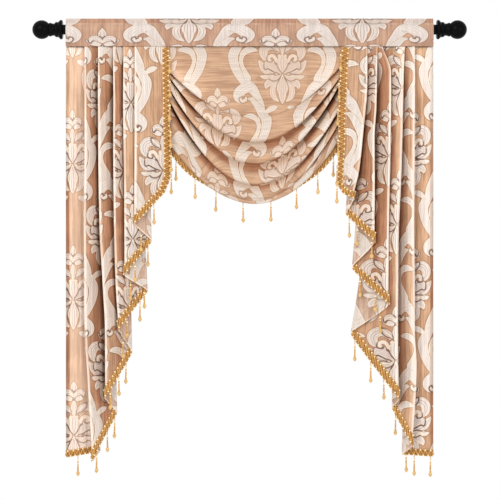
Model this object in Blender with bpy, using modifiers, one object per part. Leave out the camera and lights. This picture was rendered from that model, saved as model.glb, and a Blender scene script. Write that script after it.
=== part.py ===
"""A swag and tail drape on a curtain rod.

The heading band is a rod pocket with a small frill above it. A swag hangs from the band's middle in
curved folds, and a pleated tail hangs at each side, cut on a slant so that its edge zigzags. A braid
with hanging tassels edges the swag and both tails. The origin is on the rod's axis, halfway along it.
+X is to the right seen from the room, +Z is up, and the room is on the -Y side. Lengths are in metres.
"""

import math

import bmesh
import bpy
import numpy as np
from mathutils import Vector

OBJECT_NAME = "swag_and_tail_drape"

# Cloth and trim
CLOTH_THICKNESS = 0.0015
BRAID_WIDTH = 0.027
BRAID_THICKNESS = 0.0028
BRAID_GAP = 0.0012
BRAID_OVERHANG = 0.001
BRAID_TOP_GAP = 0.003

# Rod and finials
ROD_RADIUS = 0.019
ROD_HALF_LENGTH = 0.7485
FINIAL_GAP = 0.0003
ROUND_STEPS = 24

# Heading band
BAND_HALF_WIDTH = 0.750
BAND_BOTTOM = -0.0695
BAND_COLUMNS = 8
BAND_RIPPLE = 0.0012
BAND_RIPPLE_LENGTH = 0.29
SEAM_GAP = 0.0006
# Front half of the band's section, from the seam up over the rod to the frill's fold: (depth, height)
BAND_SECTION = (
    (0.0090, -0.0695),
    (0.0150, -0.0450),
    (0.0205, -0.0200),
    (0.0222, -0.0040),
    (0.0215, 0.0080),
    (0.0165, 0.0165),
    (0.0085, 0.0220),
    (0.0024, 0.0255),
    (0.0018, 0.0320),
    (0.0018, 0.0430),
)
BAND_TOP = 0.0450

# Tails. Depths are front to back at full opening. The pleats are pressed together at the seam.
SEAM_OPENING = 0.30
OPENING_DROP = 0.25
TURN_RADIUS_AT_SEAM = 0.0017
TURN_RADIUS = 0.0065
ROW_STOPS = np.array((0.0, 0.05, 0.11, 0.18, 0.27, 0.38, 0.50, 0.62, 0.74, 0.86, 0.95, 1.0))
SECTION_STEPS = 2
TURN_STEPS = 3
FLAT_AT = 0.62
OUTER_EDGE = 0.750
EDGE_CURL = 0.010

# Folds of the left tail, from its inner edge outward: which way the fold turns, its depth, how low it
# reaches, and its way down as (height, distance out from the drape's middle).
LEFT_INNER = ((-0.070, 0.329), (-0.288, 0.327), (-0.492, 0.322), (-0.600, 0.321))
LEFT_INNER_DEPTH = ((-0.070, -0.0075), (-0.300, -0.0160), (-0.600, -0.0190))
LEFT_CUT = ((0.00, -0.600), (0.16, -0.664), (0.55, -0.724), (0.90, -0.777))
LEFT_FOLDS = (
    ("front", -0.025, -0.794, ((-0.070, 0.469), (-0.786, 0.468))),
    ("back", 0.008, -0.864, ((-0.070, 0.432), (-0.400, 0.412), (-0.864, 0.401))),
    ("front", -0.026, -1.004, ((-0.070, 0.515), (-0.688, 0.512), (-1.002, 0.509))),
    ("back", 0.018, -1.068, ((-0.070, 0.474), (-0.500, 0.446), (-1.068, 0.419))),
    ("front", -0.025, -1.227, ((-0.070, 0.557), (-0.688, 0.553), (-1.064, 0.543), (-1.227, 0.533))),
    ("back", 0.015, -1.317, ((-0.070, 0.520), (-0.700, 0.498), (-1.317, 0.479))),
    (
        "front",
        -0.027,
        -1.505,
        ((-0.070, 0.618), (-0.810, 0.612), (-1.031, 0.599), (-1.227, 0.588), (-1.505, 0.587)),
    ),
    ("back", 0.016, -1.566, ((-0.070, 0.580), (-0.900, 0.556), (-1.566, 0.542))),
    ("front", -0.026, -1.762, ((-0.070, 0.673), (-1.100, 0.673), (-1.476, 0.658), (-1.750, 0.641))),
    ("back", 0.012, -1.726, ((-0.070, 0.640), (-0.900, 0.622), (-1.566, 0.608), (-1.726, 0.612))),
)
LEFT_OUTER_BOTTOM = -1.746

RIGHT_INNER = (
    (-0.070, 0.376),
    (-0.170, 0.369),
    (-0.288, 0.3635),
    (-0.377, 0.3615),
    (-0.463, 0.3635),
    (-0.553, 0.3595),
    (-0.640, 0.3595),
)
RIGHT_INNER_DEPTH = ((-0.070, -0.0075), (-0.300, -0.0170), (-0.640, -0.0190))
RIGHT_CUT = ((0.00, -0.640), (0.40, -0.672))
RIGHT_FOLDS = (
    (
        "front",
        -0.023,
        -0.692,
        ((-0.070, 0.480), (-0.222, 0.480), (-0.451, 0.461), (-0.576, 0.446), (-0.663, 0.426)),
    ),
    ("back", 0.003, -0.751, ((-0.070, 0.446), (-0.400, 0.420), (-0.692, 0.397), (-0.751, 0.394))),
    ("front", -0.025, -0.868, ((-0.070, 0.522), (-0.312, 0.516), (-0.450, 0.508), (-0.868, 0.508))),
    ("back", 0.018, -0.974, ((-0.070, 0.486), (-0.450, 0.462), (-0.974, 0.418))),
    (
        "front",
        -0.027,
        -1.123,
        ((-0.070, 0.542), (-0.177, 0.576), (-0.490, 0.575), (-0.843, 0.566), (-1.123, 0.564)),
    ),
    ("back", 0.024, -1.241, ((-0.070, 0.512), (-0.500, 0.496), (-0.974, 0.456), (-1.241, 0.414))),
    (
        "front",
        -0.025,
        -1.513,
        ((-0.070, 0.633), (-0.365, 0.623), (-0.617, 0.616), (-0.913, 0.605), (-1.415, 0.606)),
    ),
    ("back", 0.016, -1.546, ((-0.070, 0.596), (-0.900, 0.586), (-1.546, 0.584))),
    (
        "front",
        -0.028,
        -1.701,
        ((-0.070, 0.674), (-0.760, 0.671), (-1.227, 0.671), (-1.370, 0.679), (-1.701, 0.661)),
    ),
    ("back", 0.014, -1.738, ((-0.070, 0.640), (-0.900, 0.636), (-1.738, 0.623))),
)
RIGHT_OUTER_BOTTOM = -1.742

# Swag. Side values are where its folds pass behind the tails' inner edges.
SWAG_TOP = -0.0700
SWAG_MIDDLE = 0.0235
SWAG_HALF_WIDTH = 0.3685
SWAG_SEEN = 0.957
SWAG_COLUMNS = 26
SAG_POWER = 2.0
# Each fold's lowest line: its height at the left, middle and right, its front depth in the middle, and
# how strongly it is folded at the left, middle and right.
SWAG_FOLDS = (
    (-0.173, -0.353, -0.145, -0.022, 1.0, 0.8, 1.0),
    (-0.192, -0.451, -0.184, -0.030, 1.0, 1.0, 1.0),
    (-0.239, -0.541, -0.209, -0.036, 1.0, 1.0, 1.0),
    (-0.288, -0.627, -0.308, -0.039, 1.0, 1.0, 1.0),
    (-0.420, -0.686, -0.361, -0.037, 0.0, 0.3, 1.0),
)
FOLD_FADES = 0.8
SWAG_HEM = (-0.463, -0.712, -0.435)
SWAG_HEM_DEPTH = -0.030
SIDE_FRONT = -0.0010
SIDE_BACK = 0.0130
SIDE_TURN = 0.0022
SIDE_HIDE = 0.026
WAVE_DEPTH = 0.015
WAVE_BELOW = 0.024
WAVE_STARTS = 0.30
HEM_ROLL = 0.0130
HEM_TURN_UP = 0.012
# Height of the braid's middle over the hem at the swag's left end, its middle and its right end
SWAG_BRAID_RISE = (-0.013, 0.0145, -0.012)

# Tassels: (drop below the braid, half thickness) down one strand
TASSEL_SHAPE = (
    (0.000, 0.0011),
    (0.004, 0.0011),
    (0.015, 0.0011),
    (0.019, 0.0032),
    (0.024, 0.0018),
    (0.062, 0.0025),
    (0.073, 0.0064),
    (0.082, 0.0034),
)
TASSEL_SIDES = 4
TASSEL_ROOT = 0.0035
TASSEL_CLEARANCE = 0.0125
# Braid stations round a tail's lower inner corner, as parts of its first stretch
CORNER_STATIONS = (0.10, 0.22, 0.40, 0.58, 0.76, 0.90)
# Where tassels hang: on a tail's inner edge by height, and on its slanted edge by the stretch between
# two folds and how far along it. Stretch 0 ends at the first fold.
LEFT_EDGE_TASSELS = (-0.099, -0.197, -0.293, -0.402, -0.500, -0.590)
LEFT_CUT_TASSELS = (
    (0, 0.48),
    (1, 0.40),
    (2, 0.08),
    (2, 0.62),
    (3, 0.25),
    (3, 0.92),
    (4, 0.22),
    (4, 0.70),
    (5, 0.30),
    (6, 0.20),
    (6, 0.50),
    (6, 0.84),
    (8, 0.04),
    (8, 0.36),
    (8, 0.84),
    (10, 0.64),
)
RIGHT_EDGE_TASSELS = (-0.088, -0.206, -0.312, -0.436, -0.556, -0.628)
RIGHT_CUT_TASSELS = (
    (2, 0.06),
    (2, 0.40),
    (2, 0.94),
    (4, 0.20),
    (4, 0.66),
    (5, 0.22),
    (6, 0.06),
    (6, 0.42),
    (6, 0.70),
    (8, 0.10),
    (9, 0.70),
    (10, 0.36),
    (10, 0.90),
)
SWAG_TASSELS = (-0.301, -0.223, -0.137, -0.027, 0.087, 0.192, 0.278, 0.343)

# Finial profile from its socket outward: (distance out from the rod's end, radius)
FINIAL_COLLAR_RADIUS = 0.0204
FINIAL_COLLAR_LENGTH = 0.0150
FINIAL_FLANGE_RADIUS = 0.0396
FINIAL_BALL_RADIUS = 0.0386
FINIAL_BALL_CENTRE = 0.1004
FINIAL_NECK = (
    (0.0150, 0.0360),
    (0.0175, 0.0396),
    (0.0245, 0.0396),
    (0.0285, 0.0350),
    (0.0330, 0.0300),
    (0.0365, 0.0312),
    (0.0415, 0.0312),
    (0.0450, 0.0290),
    (0.0480, 0.0252),
    (0.0530, 0.0245),
    (0.0580, 0.0252),
    (0.0620, 0.0276),
    (0.0670, 0.0282),
    (0.0705, 0.0262),
)
FINIAL_BALL_STEPS = 9


def clear_scene():
    for item in list(bpy.data.objects):
        bpy.data.objects.remove(item, do_unlink=True)


def make_collection(name):
    collection = bpy.data.collections.new(name)
    bpy.context.scene.collection.children.link(collection)
    return collection


def make_material(name, colour, roughness, metallic=0.0):
    material = bpy.data.materials.new(name)
    material.use_nodes = True
    shader = material.node_tree.nodes["Principled BSDF"]
    shader.inputs["Base Color"].default_value = (*colour, 1.0)
    shader.inputs["Roughness"].default_value = roughness
    shader.inputs["Metallic"].default_value = metallic
    return material


def add_object(name, mesh, material, collection):
    item = bpy.data.objects.new(name, mesh)
    mesh.materials.append(material)
    collection.objects.link(item)
    return item


def smooth_step(value):
    value = np.clip(value, 0.0, 1.0)
    return value * value * (3.0 - 2.0 * value)


def curve_through(rows, at):
    """A smooth curve through (position, value) rows that never overshoots them."""
    knots = np.array(sorted(rows))
    place = knots[:, 0]
    value = knots[:, 1]
    gap = np.diff(place)
    slope = np.diff(value) / gap
    product = slope[:-1] * slope[1:]
    total = np.where(product > 0.0, slope[:-1] + slope[1:], 1.0)
    inner = np.where(product > 0.0, 2.0 * product / total, 0.0)
    tangent = np.concatenate([slope[:1], inner, slope[-1:]])
    at = np.clip(at, place[0], place[-1])
    piece = np.clip(np.searchsorted(place, at, side="right") - 1, 0, len(gap) - 1)
    t = (at - place[piece]) / gap[piece]
    start = value[piece] + tangent[piece] * gap[piece] * t * (1.0 - t) ** 2
    blend = (value[piece + 1] - value[piece]) * t * t * (3.0 - 2.0 * t)
    return start + blend - tangent[piece + 1] * gap[piece] * t * t * (1.0 - t)


class Tail:
    """One pleated tail. A point of its cloth is named by its flat distance from the inner edge, place,
    and its height. Stretches and turns alternate along the place: stretch 0, turn 0, stretch 1..."""

    def __init__(self, side, inner, inner_depth, cut, folds, outer_bottom):
        self.side = side
        self.inner = inner
        self.inner_depth = inner_depth
        self.folds = folds
        lengths = [self.flat_length(piece) for piece in range(2 * len(folds) + 1)]
        self.starts = np.concatenate([[0.0], np.cumsum(lengths)])
        self.width = self.starts[-1]
        self.cut = [(self.starts[1] * part, height) for part, height in cut]
        for number, fold in enumerate(folds):
            middle = (self.starts[2 * number + 1] + self.starts[2 * number + 2]) / 2.0
            self.cut.append((middle, fold[2]))
        self.cut.append((self.width, outer_bottom))

    def opening(self, height):
        drop = (BAND_BOTTOM - height) / OPENING_DROP
        return SEAM_OPENING + (1.0 - SEAM_OPENING) * smooth_step(drop)

    def radius(self, height):
        drop = (BAND_BOTTOM - height) / OPENING_DROP
        return TURN_RADIUS_AT_SEAM + (TURN_RADIUS - TURN_RADIUS_AT_SEAM) * smooth_step(drop)

    def turn_centre(self, number, height):
        kind, depth, _, way = self.folds[number]
        out = curve_through(way, height)
        shift = self.radius(height) if kind == "front" else -self.radius(height)
        return out - shift, depth * self.opening(height)

    def section_ends(self, number, height):
        """Both ends of a stretch, as (out, depth) pairs."""
        radius = self.radius(height)
        if number == 0:
            start = (curve_through(self.inner, height), curve_through(self.inner_depth, height))
        else:
            out, depth = self.turn_centre(number - 1, height)
            start = (out, depth + radius)
        if number == len(self.folds):
            edge = np.full_like(height, OUTER_EDGE)
            end = (edge, -0.010 * self.opening(height))
        else:
            out, depth = self.turn_centre(number, height)
            end = (out, depth - radius)
        return start, end

    def flat_length(self, piece):
        """The flat width of a stretch or turn, where it shows best."""
        number = piece // 2
        if piece % 2:
            return math.pi * TURN_RADIUS
        fold = self.folds[min(number, len(self.folds) - 1)]
        height = np.array([fold[2] * FLAT_AT])
        start, end = self.section_ends(number, height)
        return float(np.hypot(end[0] - start[0], end[1] - start[1])[0])

    def point(self, place, height):
        place, height = np.broadcast_arrays(np.asarray(place, float), np.asarray(height, float))
        piece = np.clip(np.searchsorted(self.starts, place, side="right") - 1, 0, len(self.starts) - 2)
        t = (place - self.starts[piece]) / (self.starts[piece + 1] - self.starts[piece])
        out = np.zeros_like(place)
        depth = np.zeros_like(place)
        for number in range(len(self.folds) + 1):
            here = piece == 2 * number
            start, end = self.section_ends(number, height[here])
            part = t[here]
            out[here] = start[0] + (end[0] - start[0]) * part
            bend = smooth_step(part) if number else part
            depth[here] = start[1] + (end[1] - start[1]) * bend
        for number, fold in enumerate(self.folds):
            here = piece == 2 * number + 1
            centre_out, centre_depth = self.turn_centre(number, height[here])
            angle = math.pi * (t[here] - 0.5)
            radius = self.radius(height[here])
            reach = radius if fold[0] == "front" else -radius
            out[here] = centre_out + reach * np.cos(angle)
            depth[here] = centre_depth + radius * np.sin(angle)
        curl = smooth_step((place - self.width + EDGE_CURL) / EDGE_CURL)
        return np.stack([self.side * out, depth + EDGE_CURL * curl, height], axis=-1)

    def bottom(self, place):
        places = [row[0] for row in self.cut]
        heights = [row[1] for row in self.cut]
        return np.interp(place, places, heights)

    def face(self, place, height):
        """The unit normal of the cloth's face side, which is its front at the inner edge."""
        step = 0.0008
        across = self.point(place + step, height) - self.point(place - step, height)
        down = self.point(place, height - step) - self.point(place, height + step)
        normal = np.cross(down, across) * self.side
        return normal / np.linalg.norm(normal, axis=-1, keepdims=True)

    def columns(self):
        """Places of the cloth's columns: a few on each stretch, more on each turn."""
        found = [0.0, BRAID_WIDTH]
        for piece in range(len(self.starts) - 1):
            steps = TURN_STEPS if piece % 2 else SECTION_STEPS
            stops = np.linspace(self.starts[piece], self.starts[piece + 1], steps + 1)
            found.extend(stops[1:])
        found.insert(-1, self.width - EDGE_CURL)
        return np.array(found)

    def grid(self):
        """The sheet's corners, [column][row], from the seam to the cut edge."""
        places = self.columns()
        top = BAND_BOTTOM - SEAM_GAP
        heights = top + (self.bottom(places)[:, None] - top) * ROW_STOPS[None, :]
        return self.point(places[:, None], heights)

    def on_sheet(self, place, height):
        """The point of the sheet's flat facets at this place and height."""
        places = self.columns()
        column = int(np.clip(np.searchsorted(places, place, side="right") - 1, 0, len(places) - 2))
        across = (place - places[column]) / (places[column + 1] - places[column])
        sides = self.grid()[column : column + 2]
        top = BAND_BOTTOM - SEAM_GAP
        down = (top - height) / (top - self.bottom(place))
        line = sides[0] * (1.0 - across) + sides[1] * across
        return np.array([np.interp(down, ROW_STOPS, line[:, axis]) for axis in range(3)])

    def front_of(self, out, high, low):
        """The least depth of any layer of cloth near this distance out, between two heights."""
        places = np.linspace(0.0, self.width, 400)
        heights = np.linspace(low, high, 7)
        spots = self.point(places[:, None], heights[None, :])
        near = np.abs(np.abs(spots[..., 0]) - out) < 0.010
        hangs = heights[None, :] > self.bottom(places)[:, None] - 0.002
        inside = near & hangs
        return float(spots[..., 1][inside].min()) if inside.any() else math.inf


def sheet_mesh(name, points):
    """A mesh grid whose corners sit at points[column][row]."""
    columns, rows = points.shape[:2]
    mesh = bpy.data.meshes.new(name)
    grid = bmesh.new()
    bmesh.ops.create_grid(grid, x_segments=columns - 1, y_segments=rows - 1, size=0.5)
    for corner in grid.verts:
        column = round((corner.co.x + 0.5) * (columns - 1))
        row = round((corner.co.y + 0.5) * (rows - 1))
        corner.co = Vector(points[column, row])
    grid.to_mesh(mesh)
    grid.free()
    mesh.shade_smooth()
    return mesh


def add_cloth(name, points, material, collection):
    cloth = add_object(name, sheet_mesh(name, points), material, collection)
    solidify = cloth.modifiers.new("thickness", "SOLIDIFY")
    solidify.thickness = CLOTH_THICKNESS
    solidify.offset = 0.0
    return cloth


def band_section():
    """The heading band's section, from the back seam over the top to the front seam."""
    front = [(-depth, height) for depth, height in BAND_SECTION]
    back = [(depth, height) for depth, height in BAND_SECTION]
    return back + [(0.0, BAND_TOP)] + front[::-1]


def add_heading(material, collection):
    section = band_section()
    across = np.linspace(-BAND_HALF_WIDTH, BAND_HALF_WIDTH, BAND_COLUMNS + 1)
    ripple = BAND_RIPPLE * np.sin(across * math.tau / BAND_RIPPLE_LENGTH)
    points = np.zeros((len(across), len(section), 3))
    for row, (depth, height) in enumerate(section):
        free = smooth_step(-height / -BAND_BOTTOM) if height < 0.0 else 0.0
        points[:, row, 0] = across
        points[:, row, 1] = depth - ripple * free
        points[:, row, 2] = height
    return add_cloth("heading", points, material, collection)


def sagging(left, middle, right, across):
    """A sagging line's height at each place across the swag, which runs from -1 to 1."""
    side = np.where(across < 0.0, left, right)
    return middle + (side - middle) * (np.abs(across) / SWAG_SEEN) ** SAG_POWER


def swag_rows(across):
    """The swag's lengthwise rows from the seam to the turned-up hem: a list of (depth, height)."""
    reach = np.abs(across)
    pleated = smooth_step((reach - WAVE_STARTS) / (1.0 - WAVE_STARTS))
    belly = 1.0 - reach**2.2
    rows = [(np.full_like(across, 0.0), np.full_like(across, SWAG_TOP))]
    above = rows[0][1]
    for left, middle, right, front, left_fold, middle_fold, right_fold in SWAG_FOLDS:
        side_fold = np.where(across < 0.0, left_fold, right_fold)
        strength = middle_fold + (side_fold - middle_fold) * smooth_step(reach / FOLD_FADES)
        lip = sagging(left, middle, right, across)
        face = SIDE_FRONT + (front - SIDE_FRONT) * belly
        tucked = pleated * strength
        back = face + strength * (WAVE_DEPTH + (SIDE_BACK - SIDE_FRONT - WAVE_DEPTH) * tucked)
        turn = SIDE_TURN * strength
        rows.append((face, lip + 0.45 * (above - lip)))
        rows.append((face + 0.6 * turn, lip))
        under_height = lip + tucked * 1.6 * turn - (1.0 - tucked) * 0.4 * WAVE_BELOW * strength
        under_depth = face + tucked * 2.2 * turn + (1.0 - tucked) * 0.5 * (back - face)
        rows.append((under_depth, under_height))
        hide = tucked * SIDE_HIDE - (1.0 - tucked) * WAVE_BELOW * strength
        rows.append((back - tucked * turn, lip + hide))
        rows.append((back + tucked * turn, lip + hide - tucked * 1.5 * turn - (1.0 - tucked) * 0.010))
        above = lip
    hem = sagging(*SWAG_HEM, across)
    face = SIDE_FRONT + (SWAG_HEM_DEPTH - SIDE_FRONT) * belly
    rows.append((face, hem + 0.45 * (above - hem)))
    rows.append((face + 0.2 * HEM_ROLL, hem))
    rows.append((face + 0.7 * HEM_ROLL, hem + 0.002))
    rows.append((face + HEM_ROLL, hem + HEM_TURN_UP))
    return rows


def add_swag(material, collection):
    across = np.linspace(-1.0, 1.0, SWAG_COLUMNS + 1)
    rows = swag_rows(across)
    points = np.zeros((len(across), len(rows), 3))
    for row, (depth, height) in enumerate(rows):
        points[:, row, 0] = SWAG_MIDDLE + across * SWAG_HALF_WIDTH
        points[:, row, 1] = depth
        points[:, row, 2] = height
    return add_cloth("swag", points, material, collection)


def strip_mesh(name, sections):
    """A closed strip through four-cornered sections, whose ends are capped."""
    mesh = bpy.data.meshes.new(name)
    strip = bmesh.new()
    rings = [[strip.verts.new(corner) for corner in section] for section in sections]
    for ring, after in zip(rings, rings[1:]):
        for number in range(len(ring)):
            other = (number + 1) % len(ring)
            strip.faces.new((ring[number], ring[other], after[other], after[number]))
    strip.faces.new(rings[0][::-1])
    strip.faces.new(rings[-1])
    bmesh.ops.recalc_face_normals(strip, faces=strip.faces)
    strip.to_mesh(mesh)
    strip.free()
    return mesh


def tassel_rings(root, leave, hang):
    """Rings of one tassel's strand: from its root inside the braid to where it leaves the braid's edge,
    then down its own line to its drop."""
    rings = []
    for number, (drop, half) in enumerate(TASSEL_SHAPE):
        centre = np.array([hang[0], hang[1], hang[2] - drop])
        if number == 0:
            centre = np.array(root)
        if number == 1:
            centre = np.array([leave[0], leave[1], leave[2] - drop])
        turns = np.arange(TASSEL_SIDES) * math.tau / TASSEL_SIDES
        ring = centre + half * np.stack([np.cos(turns), np.sin(turns), 0.0 * turns], axis=-1)
        rings.append(ring)
    return rings


def add_braid(name, sections, tassels, material, collection, cutters):
    """A braid strip with its tassels joined to it as one body."""
    strip = add_object(name, strip_mesh(name, sections), material, collection)
    hanging = bmesh.new()
    for root, leave, hang in tassels:
        one = strip_mesh("strand", tassel_rings(root, leave, hang))
        hanging.from_mesh(one)
        bpy.data.meshes.remove(one)
    mesh = bpy.data.meshes.new(name + "_tassels")
    hanging.to_mesh(mesh)
    hanging.free()
    strands = add_object(name + "_tassels", mesh, material, cutters)
    strands.hide_render = True
    strands.display_type = "WIRE"
    union = strip.modifiers.new("tassels", "BOOLEAN")
    union.operation = "UNION"
    union.object = strands
    return strip


def tail_braid_path(tail):
    """Stations round a tail's edge. Each has a mark, which is the place on the slanted edge or, on the
    straight inner edge, the height under the corner as a negative number, then the place and height at
    the edge, and the inward step across the braid in the flat cloth."""
    corner = tail.cut[0][1]
    stations = []
    top = BAND_BOTTOM - BRAID_TOP_GAP
    for height in top + (corner - top) * ROW_STOPS:
        stations.append((corner - height, 0.0, height, 1.0, 0.0))
    places = tail.columns()
    first = tail.starts[1]
    early = np.array(CORNER_STATIONS) * first
    places = np.concatenate([early, places[places > first - 1e-6]])
    step = 0.004
    for place in places:
        fall = tail.bottom(place + step) - tail.bottom(place - step)
        slant = Vector((2.0 * step, fall)).normalized()
        inward = Vector((-slant.y, slant.x))
        way = inward.lerp(Vector((0.0, 1.0)), float(smooth_step(place / first))).normalized()
        way = way / way.dot(inward)
        stations.append((float(place), float(place), float(tail.bottom(place)), way.x, way.y))
    return stations


def tail_braid_sections(tail, path):
    """The braid's four-cornered sections: near and far side at the edge, then far and near inside."""
    near = CLOTH_THICKNESS / 2.0 + BRAID_GAP
    far = near + BRAID_THICKNESS
    sections = []
    for _, place, height, across, up in path:
        corners = []
        for width in (-BRAID_OVERHANG, BRAID_WIDTH - BRAID_OVERHANG):
            here = max(place + across * width, 0.0)
            here = min(here, max(place, tail.starts[1]))
            spill = min(place + across * width, 0.0)
            level = min(height + up * width, BAND_BOTTOM - BRAID_TOP_GAP)
            spot = tail.on_sheet(here, level) + np.array([tail.side * spill, 0.0, 0.0])
            normal = tail.face(np.clip(here, 0.001, tail.width - 0.001), level)
            corners.append((spot + normal * near, spot + normal * far))
        (outer_near, outer_far), (inner_near, inner_far) = corners
        sections.append((outer_near, outer_far, inner_far, inner_near))
    return np.array(sections)


def tail_tassels(tail, path, sections, edge_tassels, cut_tassels):
    """The root, the leaving point and the hanging point of each of a tail's tassels."""
    path_marks = [station[0] for station in path]
    edge = sections[:, :2].mean(axis=1)
    inward = sections[:, 2:].mean(axis=1) - edge
    inward = inward / np.linalg.norm(inward, axis=1, keepdims=True)
    marks = [tail.cut[0][1] - height for height in edge_tassels]
    for stretch, part in cut_tassels:
        start, end = tail.starts[2 * stretch], tail.starts[2 * stretch + 1]
        marks.append(start + (end - start) * part)
    tassels = []
    for mark in marks:
        middle = np.array([np.interp(mark, path_marks, edge[:, axis]) for axis in range(3)])
        way = np.array([np.interp(mark, path_marks, inward[:, axis]) for axis in range(3)])
        leave = middle.copy()
        if mark < 0.0:
            leave[0] -= tail.side * TASSEL_ROOT
        hang = leave.copy()
        front = tail.front_of(abs(hang[0]), hang[2] - 0.010, hang[2] - TASSEL_SHAPE[-1][0])
        hang[1] = min(hang[1], front - TASSEL_CLEARANCE)
        tassels.append((middle + way * TASSEL_ROOT, leave, hang))
    return tassels


def swag_braid():
    """Sections of the swag's braid, which hangs behind the rolled hem, and its tassels."""
    across = np.linspace(-SWAG_SEEN, SWAG_SEEN, 25)
    seat = swag_rows(across)[-1]
    hem = sagging(*SWAG_HEM, across)
    left, middle, right = SWAG_BRAID_RISE
    ends = np.where(across < 0.0, left, right)
    rise = middle + (ends - middle) * smooth_step((np.abs(across) - 0.45) / 0.4)
    near = seat[0] + CLOTH_THICKNESS / 2.0 + BRAID_GAP
    places = SWAG_MIDDLE + across * SWAG_HALF_WIDTH
    slope = np.gradient(hem, places)
    half = BRAID_WIDTH / 2.0 * np.hypot(1.0, slope)
    centre = hem + rise
    sections = []
    for x, y, z, tall in zip(places, near, centre, half):
        low, high = z - tall, z + tall
        back = y + BRAID_THICKNESS
        sections.append(((x, y, low), (x, back, low), (x, back, high), (x, y, high)))
    tassels = []
    for x in SWAG_TASSELS:
        level = float(np.interp(x, places, centre - half))
        depth = float(np.interp(x, places, near)) + BRAID_THICKNESS / 2.0
        hang = (x, depth, level)
        tassels.append(((x, depth, level + TASSEL_ROOT), hang, hang))
    return sections, tassels


def finial_profile():
    """The finial's outline from its tip down its outer side to the middle of its socket."""
    points = []
    for step in range(FINIAL_BALL_STEPS):
        angle = math.radians(140.0) * step / (FINIAL_BALL_STEPS - 1)
        out = FINIAL_BALL_CENTRE + FINIAL_BALL_RADIUS * math.cos(angle)
        points.append((FINIAL_BALL_RADIUS * math.sin(angle), out))
    for out, radius in reversed(FINIAL_NECK):
        points.append((radius, out))
    points.append((FINIAL_COLLAR_RADIUS, FINIAL_COLLAR_LENGTH))
    points.append((FINIAL_COLLAR_RADIUS, 0.0))
    points.append((0.0, 0.0))
    return points


def add_finial(name, side, material, collection):
    mesh = bpy.data.meshes.new(name)
    outline = bmesh.new()
    corners = [outline.verts.new((radius, 0.0, out)) for radius, out in finial_profile()]
    for corner, after in zip(corners, corners[1:]):
        outline.edges.new((corner, after))
    outline.to_mesh(mesh)
    outline.free()
    finial = add_object(name, mesh, material, collection)
    screw = finial.modifiers.new("turning", "SCREW")
    screw.steps = ROUND_STEPS
    screw.render_steps = ROUND_STEPS
    screw.use_merge_vertices = True
    screw.merge_threshold = 0.0001
    screw.use_smooth_shade = True
    finial.location = (side * (ROD_HALF_LENGTH + FINIAL_GAP), 0.0, 0.0)
    finial.rotation_euler = (0.0, side * math.pi / 2.0, 0.0)
    return finial


def add_rod(material, collection):
    mesh = bpy.data.meshes.new("rod")
    tube = bmesh.new()
    bmesh.ops.create_cone(
        tube,
        cap_ends=True,
        segments=ROUND_STEPS,
        radius1=ROD_RADIUS,
        radius2=ROD_RADIUS,
        depth=2.0 * ROD_HALF_LENGTH,
    )
    tube.to_mesh(mesh)
    tube.free()
    mesh.shade_smooth()
    mesh.set_sharp_from_angle(angle=math.radians(40.0))
    rod = add_object("rod", mesh, material, collection)
    rod.rotation_euler = (0.0, math.pi / 2.0, 0.0)
    return rod


def build():
    clear_scene()
    drape = make_collection(OBJECT_NAME)
    cutters = make_collection("cutters")
    black = (0.012, 0.011, 0.011)
    tan = (0.62, 0.42, 0.30)
    gold = (0.72, 0.42, 0.12)
    add_rod(make_material("rod", black, 0.25), drape)
    add_finial("finial_left", -1.0, make_material("finial_left", black, 0.2), drape)
    add_finial("finial_right", 1.0, make_material("finial_right", black, 0.2), drape)
    add_heading(make_material("heading", tan, 0.55), drape)
    add_swag(make_material("swag", tan, 0.55), drape)
    sections, tassels = swag_braid()
    gold_swag = make_material("braid_swag", gold, 0.5)
    add_braid("braid_swag", sections, tassels, gold_swag, drape, cutters)
    left = Tail(-1.0, LEFT_INNER, LEFT_INNER_DEPTH, LEFT_CUT, LEFT_FOLDS, LEFT_OUTER_BOTTOM)
    right = Tail(1.0, RIGHT_INNER, RIGHT_INNER_DEPTH, RIGHT_CUT, RIGHT_FOLDS, RIGHT_OUTER_BOTTOM)
    trims = (
        ("left", left, LEFT_EDGE_TASSELS, LEFT_CUT_TASSELS),
        ("right", right, RIGHT_EDGE_TASSELS, RIGHT_CUT_TASSELS),
    )
    for side, tail, edge_tassels, cut_tassels in trims:
        name = "tail_" + side
        add_cloth(name, tail.grid(), make_material(name, tan, 0.55), drape)
        path = tail_braid_path(tail)
        sections = tail_braid_sections(tail, path)
        tassels = tail_tassels(tail, path, sections, edge_tassels, cut_tassels)
        braid = "braid_" + name
        add_braid(braid, sections, tassels, make_material(braid, gold, 0.5), drape, cutters)


build()
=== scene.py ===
"""Looks of a swag and tail drape on a curtain rod.

The cloth is a damask with ivory motifs on a tan ground, cut and folded as the frame's solids are. Gold
gimp braids with beaded tassels edge the swag and both tails, and the rod carries glossy black finials.
The origin is on the rod's axis, halfway along it. +X is to the right seen from the room, +Z is up, and
the room is on the -Y side. Lengths are in metres.
"""

import math
from types import SimpleNamespace

import bpy
import numpy as np
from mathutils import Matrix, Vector


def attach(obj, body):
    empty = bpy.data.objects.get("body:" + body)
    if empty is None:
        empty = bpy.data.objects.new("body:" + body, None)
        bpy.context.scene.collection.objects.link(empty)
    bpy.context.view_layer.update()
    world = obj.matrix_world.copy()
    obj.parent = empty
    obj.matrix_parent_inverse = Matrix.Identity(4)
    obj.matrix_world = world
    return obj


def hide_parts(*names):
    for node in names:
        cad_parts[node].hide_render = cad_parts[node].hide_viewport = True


CLOTH_THICKNESS = 0.0012
SEAM_GAP = 0.0006
ROD_HALF_LENGTH = 0.7485

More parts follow.
